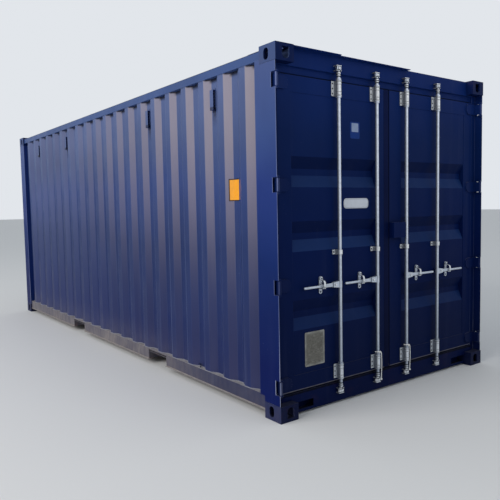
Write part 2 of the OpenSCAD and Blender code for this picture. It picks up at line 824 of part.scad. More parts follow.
module door_left_frame() { color(blue) leaf_frame(); }
module door_left_panel() { color(blue) leaf_panel(); }
module door_left_seal() { color("#101214") leaf_seal(); }
module door_left_hinges() { color(blue) leaf_hinges(); }
module door_left_brackets() { color(steel) rod_brackets([rod_ys[0], rod_ys[1]]); }
module door_left_retainers() { color(steel) for (i = [0, 1]) retainer(i); }
module door_right_frame() { color(blue) mirror([0, 1, 0]) leaf_frame(); }
module door_right_panel() { color(blue) mirror([0, 1, 0]) leaf_panel(); }
module door_right_seal() { color("#101214") mirror([0, 1, 0]) leaf_seal(); }
module door_right_hinges() { color(blue) mirror([0, 1, 0]) leaf_hinges(); }
module door_right_brackets() { color(steel) rod_brackets([rod_ys[2], rod_ys[3]]); }
module door_right_retainers() { color(steel) for (i = [2, 3]) retainer(i); }

// Cover for a padlock on the right leaf, open below.
module lock_box() {
    y0 = mid_gap + slide_gap;
    y1 = y0 + lockbox_w;
    z0 = lockbox_z - lockbox_h / 2;
    z1 = lockbox_z + lockbox_h / 2;
    color(blue) difference() {
        block([leaf_x, y0, z0], [lockbox_x, y1, z1]);
        block([leaf_x - eps, y0 + lockbox_t, z0 - eps],
            [lockbox_x - lockbox_t, y1 - lockbox_t, z1 - lockbox_t]);
    }
}

// A lock rod with its end cams, collars and the fork that carries the handle.
module rod(i) {
    s = hand(i);
    cheek_x = handle_t / 2 + slide_gap;
    color(steel) translate([rod_x, rod_ys[i], 0]) difference() {
        union() {
            translate([0, 0, rod_z0]) cylinder(r = rod_r, h = rod_z1 - rod_z0);
            translate([0, 0, cam_low_z - cam_h / 2]) cylinder(r = rod_end_r, h = cam_top_z - cam_low_z + cam_h);
            for (z = [cam_low_z, cam_top_z]) translate([0, 0, z - cam_h / 2]) intersection() {
                cylinder(r = cam_r, h = cam_h);
                translate([-cam_w / 2, -cam_r, 0]) cube([cam_w, 2 * cam_r, cam_h]);
            }
            for (z = [bracket_low_z + bracket_h / 2 + slide_gap,
                bracket_top_z - bracket_h / 2 - slide_gap - collar_h,
                bracket_top_z + bracket_h / 2 + slide_gap])
                translate([0, 0, z]) cylinder(r = sleeve_r, h = collar_h);
            translate([0, 0, handle_z - fork_h / 2]) cylinder(r = hub_r, h = fork_h);
            translate([handle_x - rod_x - cheek_x - cheek_t, 0, handle_z])
                fork_plate(s, 2 * (cheek_x + cheek_t));
        }
        translate([handle_x - rod_x - cheek_x, 0, handle_z - fork_h])
            block([0, s * (hub_r + 4), 0], [2 * cheek_x, s * (pivot_y + fork_h), 2 * fork_h]);
    }
    color(steel) translate([handle_x - cheek_x - eps, rod_ys[i] + s * pivot_y, handle_z])
        rotate([0, 90, 0]) cylinder(r = pivot_r, h = 2 * (cheek_x + eps));
}

// Outline of the fork, tall beside the rod and low at its outer end.
module fork_plate(s, t) {
    y1 = s * (pivot_y + 22);
    rotate([90, 0, 90]) linear_extrude(t)
        polygon([[0, -fork_h / 2], [y1, -fork_tip_h / 2], [y1, fork_tip_h / 2], [0, fork_h / 2]]);
}

// A handle's bar with a rounded pivot end and a thinner grip.
module handle(i) {
    s = hand(i);
    half = handle_h / 2;
    color(steel) translate([handle_x - handle_t / 2, rod_ys[i], handle_z]) rotate([0, 90, 0]) difference() {
        union() {
            translate([0, s * pivot_y, 0]) cylinder(r = half, h = handle_t);
            linear_extrude(handle_t) polygon([[-half, s * pivot_y], [half, s * pivot_y],
                [half - 4, s * (handle_l - half)], [-half + 4, s * (handle_l - half)]]);
            translate([0, s * (handle_l - half + 4), 0]) cylinder(r = half - 4, h = handle_t);
        }
        translate([0, s * pivot_y, -eps]) cylinder(r = pivot_r + pin_gap, h = handle_t + 2 * eps);
    }
}

// A catch: a ring on its bolt, an arm over the handle and an eyed plate in front of it.
module catch(i) {
    y = rod_ys[i] + hand(i) * catch_y;
    half = catch_w / 2;
    color(steel) translate([0, y, catch_z]) difference() {
        union() {
            translate([ring_x, 0, 0]) rotate([0, 90, 0]) cylinder(r = ring_r, h = ring_t);
            block([ring_x, -half, -catch_arm], [ring_x + ring_t, half, 0]);
            block([ring_x, -half, -catch_arm], [catch_x + catch_t, half, -catch_arm + ring_t]);
            block([catch_x, -half, -catch_l + half], [catch_x + catch_t, half, -catch_arm]);
            translate([catch_x, 0, -catch_l + half]) rotate([0, 90, 0]) cylinder(r = half, h = catch_t);
        }
        translate([ring_x - eps, 0, 0]) rotate([0, 90, 0])
            cylinder(r = pivot_r + pin_gap, h = ring_t + 2 * eps);
        translate([catch_x - eps, 0, -catch_l + half]) rotate([0, 90, 0])
            cylinder(r = half / 2, h = catch_t + 2 * eps);
    }
}

// Sweep a round rope along points with eight sides a ring.
function unit(v) = v / norm(v);
function along(p, i) = unit(p[min(i + 1, len(p) - 1)] - p[max(i - 1, 0)]);
function side_way(t) = unit(cross(t, abs(t[2]) > 0.9 ? [1, 0, 0] : [0, 0, 1]));
module sweep(p, r) {
    sides = 8;
    n = len(p);
    rings = [for (i = [0 : n - 1])
        let (t = along(p, i), u = side_way(t), v = cross(t, u))
        for (k = [0 : sides - 1]) p[i] + r * (cos(k * 360 / sides) * u + sin(k * 360 / sides) * v)];
    faces = concat(
        [[for (k = [0 : sides - 1]) k]],
        [for (i = [0 : n - 2], k = [0 : sides - 1])
            let (a = i * sides + k, b = i * sides + (k + 1) % sides)
            each [[a, a + sides, b], [b, a + sides, b + sides]]],
        [[for (k = [sides - 1 : -1 : 0]) (n - 1) * sides + k]]);
    polyhedron(rings, faces);
}

module tie_rope(y, drop) {
    z = bracket_low_z + bracket_h / 2 + slide_gap + collar_h + rope_r + 1;
    color("#e8e8e0") translate([rod_x, y, z]) sweep(rope_points(drop), rope_r);
}

module rope_left() { tie_rope(rod_ys[1], rope_left_drop); }
module rope_right() { tie_rope(rod_ys[2], rope_right_drop); }

bottom_corner_fittings();
top_corner_fittings();
door_post_left();
door_post_right();
front_post_left();
front_post_right();
door_header();
door_sill();
front_top_rail();
front_bottom_rail();
top_rail_left();
top_rail_right();
bottom_rail_left();
bottom_rail_right();
crossmembers();
pocket_sides();
pocket_tops();
floor();
side_wall_left();
side_wall_right();
front_wall();
roof();
cam_keepers();
hinge_lugs();
vents();
rope_hooks();
door_left_frame();
door_left_panel();
door_left_seal();
door_left_hinges();
door_left_brackets();
door_left_retainers();
door_right_frame();
door_right_panel();
door_right_seal();
door_right_hinges();
door_right_brackets();
door_right_retainers();
lock_box();
rod(0);  // rod_1
rod(1);  // rod_2
rod(2);  // rod_3
rod(3);  // rod_4
handle(0);  // handle_1
handle(1);  // handle_2
handle(2);  // handle_3
handle(3);  // handle_4
catch(0);  // catch_1
catch(1);  // catch_2
catch(2);  // catch_3
catch(3);  // catch_4
rope_left();
rope_right();
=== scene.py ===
import json
import math
import random

import bmesh
import bpy
from mathutils import Matrix, Vector
from mathutils.geometry import interpolate_bezier


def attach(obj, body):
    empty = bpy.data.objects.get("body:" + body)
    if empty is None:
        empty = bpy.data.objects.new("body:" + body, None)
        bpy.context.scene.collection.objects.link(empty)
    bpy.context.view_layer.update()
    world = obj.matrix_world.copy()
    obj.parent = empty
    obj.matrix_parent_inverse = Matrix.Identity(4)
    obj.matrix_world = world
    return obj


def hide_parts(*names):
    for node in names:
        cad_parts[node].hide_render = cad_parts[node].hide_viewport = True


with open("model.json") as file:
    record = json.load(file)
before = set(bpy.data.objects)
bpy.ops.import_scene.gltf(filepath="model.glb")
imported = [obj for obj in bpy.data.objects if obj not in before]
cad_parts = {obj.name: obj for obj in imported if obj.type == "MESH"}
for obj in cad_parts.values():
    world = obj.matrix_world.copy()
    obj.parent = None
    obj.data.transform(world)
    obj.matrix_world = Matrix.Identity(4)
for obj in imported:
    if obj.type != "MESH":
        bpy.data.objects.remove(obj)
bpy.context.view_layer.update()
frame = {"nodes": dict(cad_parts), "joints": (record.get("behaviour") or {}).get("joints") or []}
nodes = frame["nodes"]
random.seed(7)


def place(name, data):
    """A new object in the scene."""
    o = bpy.data.objects.new(name, data)
    bpy.context.scene.collection.objects.link(o)
    return o


# Camera, fitted to the corners of the box in the photograph: metres, degrees and millimetres.
CAMERA_AT = (6.03037, -3.68600, 1.49913)
CAMERA_TURNS = (53.4113, -4.2136, -1.1294)
CAMERA_LENS = 41.51


def camera():
    heading, tilt, roll = (math.radians(a) for a in CAMERA_TURNS)
    ahead = Vector((-math.sin(heading) * math.cos(tilt), math.cos(heading) * math.cos(tilt), math.sin(tilt)))
    level = ahead.cross(Vector((0, 0, 1))).normalized()
    above = level.cross(ahead)
    right = level * math.cos(roll) + above * math.sin(roll)
    up = above * math.cos(roll) - level * math.sin(roll)
    data = bpy.data.cameras.new("camera")
    data.lens = CAMERA_LENS
    data.sensor_width = 36
    data.clip_end = 300
    cam = place("camera", data)
    cam.matrix_world = Matrix.Translation(CAMERA_AT) @ Matrix((right, up, -ahead)).transposed().to_4x4()
    bpy.context.scene.camera = cam


camera()

# The axes, and the way that the doors face.
X, Y, Z = 0, 1, 2
OUT = (1, 0, 0)

# Places in metres, from the nodes and the joints of the frame.
PINS = {joint["name"]: joint["pos_m"] for joint in frame["joints"]}


def reach(name, axis, inset=0.0):
    """The lowest and the highest place of a node along an axis, both drawn in by inset."""
    places = [corner[axis] for corner in nodes[name].bound_box]
    return round(min(places) + inset, 4), round(max(places) - inset, 4)


SHEET = 0.002
LEAF_X, PANEL_X = reach("door_left_frame", X)[1], reach("door_left_panel", X)[1]
LEAF_Z = reach("door_left_frame", Z, 0.001)
ROD_X = PINS["rod_1_turn"][X]
RODS = tuple(PINS[f"rod_{i}_turn"][Y] for i in (1, 2, 3, 4))
LEAVES = ((-1, "door_left", RODS[:2]), (1, "door_right", RODS[2:]))
SLEEVE_R, SLEEVE_HALF, BRACKET_T, GUIDE_Z = 0.0205, 0.054, 0.006, 1.156
BRACKETS = reach("door_left_brackets", Z, SLEEVE_HALF)
KEEPER_X = reach("cam_keepers", X)[0]
CAM_LOW, CAM_HIGH = reach("rod_1", Z, 0.010)
BLADE_HALF = 0.045
HINGE_LOW, HINGE_HIGH = reach("door_left_hinges", Z, BLADE_HALF)
HINGES = [HINGE_LOW + (HINGE_HIGH - HINGE_LOW) * i / 3 for i in range(4)]
WALL_X, WALL_Y, WALL_Z = (reach("side_wall_right", axis) for axis in (X, Y, Z))
RAIL_TOP = WALL_Z[0]
BACK_Y, FACE_Y = WALL_Y[0] + SHEET, WALL_Y[1]
PITCH, SHIFT, FOLD_FLAT, FOLD_SLOPE = 0.278, 0.020, 0.072, 0.068
FOLD_OUT = (PITCH - FOLD_FLAT) / 2
FOLD_IN = FOLD_OUT - FOLD_SLOPE
VENTS = tuple(k * PITCH - SHIFT for k in (-8, -4, 4, 8))
VENT_LOW, VENT_HIGH = reach("vents", Z)

# Each cam's height, with the way to the middle of its rod.
CAMS = ((CAM_LOW, 1), (CAM_HIGH, -1))

# Labels and plates as (y, z, y, z) from corner to corner, each with the radius of its corners.
WHITE_LABEL, WHITE_R = (-0.512, 1.478, -0.240, 1.554), 0.027
BLUE_LABEL, BLUE_R = (-0.436, 2.006, -0.334, 2.131), 0.010
PALE_FIELD, PALE_R = (-0.422, 2.056, -0.348, 2.122), 0.006
DATA_PLATE, DATA_R = (-0.922, 0.333, -0.728, 0.585), 0.008


def fold_line(x):
    """Outer face of the side wall at x, as a distance from mid width."""
    off = abs((x + SHIFT + PITCH / 2) % PITCH - PITCH / 2)
    return BACK_Y + (FACE_Y - BACK_Y) * min(1, max(0, (off - FOLD_IN) / FOLD_SLOPE))


# Tie ropes: one turn round the rod above its lower bracket, then down beside the sleeve.
ROPE_R, ROPE_UP = 0.0036, 0.019
KNOT_R, KNOT_SIZE, KNOT_DROP = 0.0032, 0.0024, 0.006


def rope_route(y, drop):
    """The turn and the given points of the tail, in mm from the rod's axis where the turn starts."""
    start = BRACKETS[0] + SLEEVE_HALF + ROPE_UP
    turn = [(19 * math.cos(math.radians(30 * i)), 19 * math.sin(math.radians(30 * i)), 11 * i / 12)
            for i in range(13)]
    tail = [(19, 10, 10), (17, 20, 3), (13, 29, -13), (9, 35, -36), (6, 40, -64), (4, 43, -0.45 * drop),
            (3, 43, -0.62 * drop), (3, 41, -0.8 * drop), (2, 40, -drop)]
    return [Vector((ROD_X + a / 1000, y + b / 1000, start + c / 1000)) for a, b, c in turn + tail]


def curve(name, points, radius, closed=False):
    """A round cord through points."""
    data = bpy.data.curves.new(name, "CURVE")
    data.dimensions = "3D"
    data.bevel_depth = 1
    data.bevel_resolution = 4
    data.resolution_u = 6
    data.use_fill_caps = True
    spline = data.splines.new("BEZIER")
    spline.bezier_points.add(len(points) - 1)
    n = len(points)
    for i, (b, p) in enumerate(zip(spline.bezier_points, points)):
        before = points[(i - 1) % n] if closed or i else p
        after = points[(i + 1) % n] if closed or i < n - 1 else p
        way = (after - before).normalized()
        b.handle_left_type = b.handle_right_type = "FREE"
        b.co = p
        b.radius = radius
        b.handle_left = p - way * (p - before).length / 3
        b.handle_right = p + way * (after - p).length / 3
    spline.use_cyclic_u = closed
    return place(name, data)


def curve_length(o):
    bpy.context.view_layer.update()
    points = o.data.splines[0].bezier_points
    total = 0
    for a, b in zip(points, points[1:]):
        line = interpolate_bezier(a.co, a.handle_right, b.handle_left, b.co, 24)
        total += sum((q - p).length for p, q in zip(line, line[1:]))
    return total


def knot_points(end):
    """A trefoil under the end of a rope."""
    points = []
    for t in (i * math.tau / 24 for i in range(24)):
        a, b = math.sin(t) + 2 * math.sin(2 * t), math.cos(t) - 2 * math.cos(2 * t)
        points.append(end + KNOT_SIZE * Vector((b, a, -1.3 * math.sin(3 * t))) - Vector((0, 0, KNOT_DROP)))
    return points


def tie_rope(side, y, drop, body):
    route = rope_route(y, drop)
    rope = curve("tie_rope_" + side, route, ROPE_R)
    knot = curve("rope_knot_" + side, knot_points(route[-1]), KNOT_R, True)
    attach(rope, body)
    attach(knot, body)
    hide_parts("rope_" + side)
    round(curve_length(rope), 4)
    return [rope, knot]


ropes = tie_rope("left", RODS[1], 218, "door_left") + tie_rope("right", RODS[2], 204, "door_right")

# Shader nodes with short calls. Each tree files its material by name.
materials = {}


def lin(code):
    """A colour code as linear values."""
    parts = [int(code[i:i + 2], 16) / 255 for i in (1, 3, 5)]
    return tuple(v / 12.92 if v <= 0.04045 else ((v + 0.055) / 1.055) ** 2.4 for v in parts) + (1.0,)


class Tree:
    """col is the colour so far, x, y and z are the place at rest, nx, ny and nz the normal."""

    def __init__(self, name):
        self.mat = materials[name] = bpy.data.materials.new(name)
        self.mat.use_nodes = True
        self.nt = self.mat.node_tree
        self.nt.nodes.clear()
        coords = self.nt.nodes.new("ShaderNodeTexCoord")
        self.co = coords.outputs["Object"]
        self.x, self.y, self.z = (self.axis(self.co, i) for i in range(3))
        self.nx, self.ny, self.nz = (self.axis(coords.outputs["Normal"], i) for i in range(3))
        self.bsdf = self.nt.nodes.new("ShaderNodeBsdfPrincipled")
        out = self.nt.nodes.new("ShaderNodeOutputMaterial")
        self.nt.links.new(self.bsdf.outputs[0], out.inputs[0])
        self.col = None

    def put(self, sock, value):
        if hasattr(value, "is_output"):
            self.nt.links.new(value, sock)
        elif value is not None:
            sock.default_value = value

    def node(self, kind, inputs=(), **props):
        n = self.nt.nodes.new("ShaderNode" + kind)
        for k, v in props.items():
            setattr(n, k, v)
        for k, v in dict(inputs).items():
            self.put(n.inputs[k], v)
        return n

    def axis(self, vector, i):
        return self.node("SeparateXYZ", {0: vector}).outputs[i]

    def scaled(self, x, y, z):
        return self.node("Mapping", {"Vector": self.co, "Scale": (x, y, z)}).outputs[0]

    def noise(self, scale, detail=4.0, rough=0.5, vector=None, dist=0.0):
        return self.node("TexNoise", {"Vector": vector or self.co, "Scale": scale, "Detail": detail,
                                      "Roughness": rough, "Distortion": dist}).outputs["Fac"]

    def cells(self, scale, out="Distance"):
        return self.node("TexVoronoi", {"Vector": self.co, "Scale": scale}).outputs[out]

    def span(self, v, a, b, lo=0.0, hi=1.0, smooth=False):
        """lo where v is a and hi where v is b, with a line or a smooth step between."""
        return self.node("MapRange", {"Value": v, "From Min": a, "From Max": b, "To Min": lo, "To Max": hi},
                         interpolation_type="SMOOTHSTEP" if smooth else "LINEAR").outputs[0]

    def math(self, op, a, b=None):
        return self.node("Math", {0: a, 1: b}, operation=op).outputs[0]

    def abs(self, v):
        return self.math("ABSOLUTE", v)

    def mul(self, *factors):
        product = factors[0]
        for f in factors[1:]:
            product = self.math("MULTIPLY", product, f)
        return product

    def mix(self, share, a, b, blend="MIX"):
        return self.node("Mix", {0: share, 6: a, 7: b}, data_type="RGBA", blend_type=blend).outputs[2]

    def tint(self, share, code):
        """Lays a share of a colour over the colour so far."""
        self.col = self.mix(share, self.col, lin(code))

    def bump(self, height, strength, distance, under=None):
        return self.node("Bump", {"Height": height, "Strength": strength, "Distance": distance,
                                  "Normal": under}).outputs[0]

    def finish(self, **sockets):
        self.put(self.bsdf.inputs["Base Color"], self.col)
        for k, v in sockets.items():
            self.put(self.bsdf.inputs[k.replace("_", " ")], v)


# Blue paint, in layers.
# Dust, rust, marks, the pale of painted sheen on the folds, and navy.
DUST, RUST, MARK, PAINTED_SHEEN, NAVY = "#938a84", "#5a2e1a", "#77809c", "#8791b8", "#020a26"


def outward(t, lo=0.0, hi=1.0):
    """The share of the faces that look away from mid width."""
    return t.span(t.math("MULTIPLY", t.ny, t.y), 0.4, 0.8, lo, hi)


def base_coat(t, stops, inner, lit):
    level = t.math("ADD", t.z, t.span(t.noise(0.8, 3), 0, 1, -0.25, 0.25))

    def ramp(stops):
        col = lin(stops[0][1])
        for (z0, _), (z1, code) in zip(stops, stops[1:]):
            col = t.mix(t.span(level, z0, z1), col, lin(code))
        return col

    t.col = ramp(stops)
    # Faces that don't look to the sides take the inner ramp, a copy of the paint with its light and shade
    # painted in.
    if inner:
        t.col = t.mix(outward(t), ramp(inner), t.col)
    # Painted sky light in the colour lit on faces that look up, and painted shade on faces that look down.
    if lit:
        t.tint(t.mul(t.span(t.nz, 0.10, 0.32, 0, 0.8), t.span(t.z, 0.5, 1.1, 0.55, 1.0)), lit)
        t.tint(t.span(t.nz, -0.10, -0.32, 0, 0.7), "#02123c")


def sunlit_folds(t, share):
    """Painted sheen: the slopes that face the doors are painted pale as a reflection, the far ones less so,
    and thin painted highlights follow the bends.
    """
    facing = t.span(t.nx, 0.30, 0.44)
    high = t.mul(t.span(t.z, 0.6, 2.4, 0.08, 1.0, True), t.span(t.x, -0.9, 2.6, 0.14, 1.0))
    sheen_patches = t.span(t.noise(2.0, 5, 0.6, t.scaled(1, 1, 0.35)), 0.3, 0.7, 0.8, 1.0)
    t.tint(t.mul(facing, high, sheen_patches, share), "#998f98")
    far = t.mul(facing, t.span(t.x, 0.8, -1.2), t.span(t.z, 2.1, 1.7))
    t.tint(t.mul(far, t.span(t.z, 0.1, 1.4, 0.07, 0.15)), PAINTED_SHEEN)
    crease = t.mul(t.span(t.nx, 0.05, 0.16), t.span(t.nx, 0.36, 0.24))
    t.tint(t.mul(crease, t.span(t.z, 0.3, 1.6, 0.14, 0.32)), PAINTED_SHEEN)
    bend = t.mul(t.span(t.nx, -0.04, -0.15), t.span(t.nx, -0.43, -0.32), t.span(t.z, 2.0, 1.2, 0.08, 0.5))
    t.tint(t.mul(bend, t.span(t.x, -0.8, 0.4), t.span(t.x, 2.4, 1.3, 0.35, 1.0)), "#8fa3d6")


def rail_shade(t):
    """Dark under the top rail, deeper in the recesses than on the outer flats."""
    depth = t.abs(t.y)
    top = WALL_Z[1]
    recess = t.mul(t.span(depth, BACK_Y + 0.011, BACK_Y + 0.002), t.span(t.z, top - 0.039, top - 0.015))
    flat = t.mul(t.span(depth, FACE_Y - 0.001, FACE_Y - 0.009), t.span(t.z, top - 0.015, top - 0.005))
    t.tint(t.mul(t.math("MAXIMUM", recess, flat), 0.9), "#070d26")


def below_vent_darkening(t):
    """Darker patches below the vents, fading downwards."""
    for at in VENTS:
        off = t.abs(t.math("ADD", t.x, -at))
        below = t.mul(t.span(off, 0.034, 0.014), t.span(t.z, VENT_LOW + 0.002, VENT_LOW - 0.006),
                      t.span(t.z, VENT_LOW - 0.13, VENT_LOW - 0.01, 0, 0.9))
        t.tint(t.mul(below, t.span(t.noise(30, 5), 0.3, 0.6, 0.45, 1.0)), "#14142e")


def edge_wear_and_highlight(t, share, low):
    """Upright edges painted pale, partly as wear and partly as painted highlight, fainter on the right of
    the box, away from the light, with low as the share near the ground.
    """
    corner = t.mul(t.span(t.nx, 0.25, 0.45), t.span(t.abs(t.ny), 0.25, 0.45))
    # The share of the pale edges: wear and painted highlight.
    rub = t.mul(corner, t.span(t.noise(6, 4), 0.25, 0.6, 0.55, 1), t.span(t.y, 0.4, 0.9, 1.0, 0.12),
                t.span(t.z, 1.2, 2.1, low, 1.0), share)
    t.tint(rub, "#7f8ab5")
    t.tint(t.mul(rub, t.span(t.z, 0.62, 0.36, 0, 0.75)), "#c6cce2")


def wear_and_shade_band(t, z0, z1, code, share):
    """A band between two heights, on faces that look to the doors or the sides: pale wear and dust where its
    colour is pale, painted shadow where it is dark.
    """
    upright = t.span(t.math("MAXIMUM", t.nx, t.abs(t.ny)), 0.3, 0.6)
    # The band's share, in patches; a dark band is painted shadow.
    worn = t.mul(t.span(t.noise(24, 5), 0.3, 0.7, 0.6, 1.0), share)
    t.tint(t.mul(t.span(t.z, z0, z0 + 0.002), t.span(t.z, z1, z1 - 0.002), upright, worn), code)


def road_dust(t, share, top, ends, inner):
    """Dust near the ground, up to top, that fades from the first to the second place in ends."""
    near = t.span(t.z, top, 0.02, 0, 1, True)
    if inner:
        near = t.mul(near, outward(t, 0.2, 1.0))
    if ends:
        near = t.mul(near, t.span(t.x, *ends, 1.0, 0.2, True))
    blot = t.span(t.noise(1, 6, 0.6, t.scaled(26, 26, 9)), 0.28, 0.72, 0.35, 1.0)
    broad = t.span(t.noise(1.4, 3, 0.5), 0.35, 0.65, 0.62, 1.0)
    t.tint(t.mul(near, blot, broad, share), DUST)


def scuffs(t, share):
    """Level scratches and small chips, in patches."""
    scratch = t.span(t.noise(1.0, 3, 0.5, t.scaled(34, 34, 190)), 0.70, 0.74)
    t.tint(t.mul(scratch, t.span(t.noise(3.3, 2, 0.5), 0.57, 0.68), share), MARK)
    chip = t.span(t.cells(46), 0.070, 0.045)
    t.tint(t.mul(chip, t.span(t.noise(5.5, 2, 0.5), 0.57, 0.65), share), "#8a8088")


def paint(name, stops, inner=None, lit=None, dark="#0b1433", slope=0.0, edge=0.0, edge_low=1.0, hem=None,
          dust=0.35, road=0.0, road_z=0.42, road_x=None, scuff=0.25, rust=0.0, dents=0.35, rough=0.42,
          spec=0.22):
    """stops are the colours from the ground up as (height, colour), and inner those of the faces that don't
    look to the sides, a copy with its light and shade painted in. lit is painted light on slopes that look
    up:
    painted sky light on the panels, painted shadow on the sill, with painted shade on the slopes that look
    down; dark is the colour of the broad blotches. slope, edge, dust, road, scuff and rust are shares of the
    layers: slope is the painted sheen of the folds, which brings the painted shadow under the top rail and
    the dark patches below the vents, and edge the pale edges, partly wear and partly painted highlight.
    edge_low is the share of pale edges near the ground, road_z and road_x the top and the ends of the road
    dust, and dents the waves of the sheet."""
    t = Tree(name)
    base_coat(t, stops, inner, lit)
    t.tint(t.span(t.noise(1.1, 5, 0.55), 0.35, 0.68, 0, 0.22), dark)
    streak = t.noise(1.0, 5, 0.6, t.scaled(11, 11, 0.45))
    t.tint(t.span(streak, 0.55, 0.8, 0, 0.03 if spec < 0.1 else 0.12), MARK)
    if slope:
        sunlit_folds(t, slope)
        rail_shade(t)
        below_vent_darkening(t)
    if edge:
        edge_wear_and_highlight(t, edge, edge_low)
    if hem:
        wear_and_shade_band(t, *hem)
    patch = t.span(t.noise(19, 6, 0.62), 0.30, 0.62, 0.45, 1.0)
    t.tint(t.mul(t.span(t.nz, 0.45, 0.9), patch, dust), "#a8a5a5")
    if road:
        road_dust(t, road, road_z, road_x, inner)
    scuffs(t, scuff)
    if rust:
        area = t.span(t.noise(9, 8, 0.72), 0.54, 0.63)
        t.col = t.mix(t.mul(area, rust), t.col, t.mix(t.noise(60, 4), lin(RUST), lin("#7a4a30")))
    peel = t.bump(t.noise(320, 2), 0.10, 0.0004)
    t.finish(Roughness=t.span(t.noise(5, 6, 0.6), 0.3, 0.75, rough - 0.06, rough + 0.14),
             Normal=t.bump(t.noise(2.6, 2, 0.4, t.scaled(1, 1, 0.7)), dents, 0.008, peel),
             Specular_IOR_Level=spec)


# Other materials.
def galvanised(name, low="#b0bac9", high="#edf3ff", dirt=0.22, rust=0.0, cams=0.0):
    """Hot-dipped zinc with its spangle, duller near the ground, with painted shade on its sides and back,
    and with cams as the share of a near-white band on the lower cams, partly worn bare metal and partly
    painted highlight."""
    t = Tree(name)
    spangle = t.cells(75, out="Color")
    t.col = t.mix(t.span(t.z, 0.35, 1.6), lin(low), lin(high))
    t.tint(t.span(t.axis(spangle, 0), 0.2, 0.9, 0, 0.18), "#858d96")
    t.tint(t.span(t.noise(18, 6, 0.65), 0.45, 0.7, 0, dirt), "#6a6c70")
    t.tint(t.span(t.noise(1, 5, 0.6, t.scaled(60, 60, 3)), 0.5, 0.75, 0, 0.30), "#dde3e8")
    # Painted shade: darker on the sides and the back, away from the light.
    side = t.span(t.abs(t.ny), 0.55, 0.97, 0, 0.85)
    t.tint(t.math("MAXIMUM", side, t.span(t.nx, 0.35, -0.20, 0, 0.85)), "#2c3648")
    # The lower cams near white: partly worn bare metal, partly painted highlight.
    if cams:
        t.tint(t.span(t.z, CAM_LOW + 0.033, CAM_LOW + 0.023, 0, cams), "#f2f5f8")
    if rust:
        t.tint(t.mul(t.span(t.noise(26, 8, 0.7), 0.56, 0.66), rust), RUST)
    t.finish(Roughness=t.span(t.axis(spangle, 1), 0.0, 1.0, 0.34, 0.50), Metallic=0.35,
             Specular_IOR_Level=0.45, Normal=t.bump(t.noise(240, 3), 0.2, 0.0006))


def rubber():
    """Seal rubber, painted lighter blue on the strips beside the posts as painted light in their deep,
    shaded gap, with dust on the lowest lip.
    """
    t = Tree("seal_rubber")
    low = LEAF_Z[0]
    t.col = t.mix(t.span(t.noise(20, 6, 0.6), 0.35, 0.7), lin("#070c1c"), lin("#0c1228"))
    # Painted light: the strips beside the posts are a lighter blue, in their deep shaded gap.
    t.tint(t.span(t.abs(t.y), 1.10, 1.12), "#24386e")
    t.tint(t.span(t.noise(55, 4), 0.6, 0.75, 0, 0.1), "#2c3040")
    lip = t.mul(t.span(t.z, low + 0.020, low + 0.014), t.span(t.z, low + 0.002, low + 0.006))
    t.tint(t.mul(lip, t.span(t.nx, 0.2, 0.6), t.span(t.noise(30, 5), 0.3, 0.7, 0.2, 0.8)), DUST)
    t.finish(Roughness=t.span(t.noise(30), 0, 1, 0.55, 0.8), Specular_IOR_Level=0.1,
             Normal=t.bump(t.noise(300), 0.3, 0.0006))


def floor_wood():
    """Plywood sheets with dark joints."""
    t = Tree("floor_wood")
    wave = t.noise(1, 5, 0.6, t.scaled(1.4, 26, 8), 0.8)
    fine = t.noise(1, 4, 0.6, t.scaled(6, 220, 30))
    t.col = t.mix(t.span(wave, 0.3, 0.7), lin("#6d4a2c"), lin("#a57d52"))
    t.tint(t.span(fine, 0.35, 0.7, 0, 0.5), "#5a3b22")
    sheet = t.node("TexBrick", {"Vector": t.co, "Scale": 1.0, "Mortar Size": 0.003, "Mortar Smooth": 0.1,
                                "Brick Width": 2.42, "Row Height": 0.578, "Color1": (1, 1, 1, 1),
                                "Color2": (0.78, 0.78, 0.78, 1), "Mortar": (0.04, 0.03, 0.02, 1)})
    t.col = t.mix(1.0, t.col, sheet.outputs[0], "MULTIPLY")
    t.tint(t.span(t.noise(1, 6, 0.7, t.scaled(2, 9, 1)), 0.5, 0.72, 0, 0.5), "#4b4038")
    height = t.math("SUBTRACT", fine, sheet.outputs["Fac"])
    t.finish(Roughness=t.span(wave, 0, 1, 0.5, 0.75), Normal=t.bump(height, 0.35, 0.002))


def enamel(name, base, rim, rough=0.4, wear=0.3, spec=0.5):
    """The film of a label or the enamel of a plate, plain, with dirt and worn spots."""
    t = Tree(name)
    t.col = t.mix(t.span(t.noise(26, 6, 0.65), 0.42, 0.75, 0, wear), lin(base), lin(rim))
    t.tint(t.span(t.noise(4, 4), 0.45, 0.75, 0, wear * 0.6), rim)
    t.finish(Roughness=t.span(t.noise(40), 0, 1, rough - 0.06, rough + 0.14), Specular_IOR_Level=spec,
             Normal=t.bump(t.noise(260), 0.15, 0.0004))


def plate_metal():
    """Brushed metal of the data plate, worn bright along its rim."""
    t = Tree("data_plate_metal")
    y0, z0, y1, z1 = DATA_PLATE
    brush = t.noise(1, 4, 0.6, t.scaled(40, 40, 500))
    t.col = t.mix(t.span(brush, 0.3, 0.7), lin("#46453f"), lin("#7d7b74"))
    t.tint(t.span(t.noise(24, 7, 0.7), 0.5, 0.7, 0, 0.5), "#46413a")
    rims = []
    for way, lo, hi in ((t.y, y0, y1), (t.z, z0, z1)):
        off = t.abs(t.math("ADD", way, -(lo + hi) / 2))
        rims.append(t.span(off, (hi - lo) / 2 - 0.022, (hi - lo) / 2 - 0.006))
    t.tint(t.mul(t.math("MAXIMUM", *rims), t.span(t.noise(16, 5), 0.3, 0.65, 0.15, 0.75)), "#a5a6a2")
    t.tint(t.span(t.noise(1, 5, 0.6, t.scaled(9, 30, 60)), 0.55, 0.7, 0, 0.5), "#9b9a92")
    t.finish(Metallic=0.3, Roughness=t.span(brush, 0, 1, 0.45, 0.65), Normal=t.bump(brush, 0.2, 0.0005))


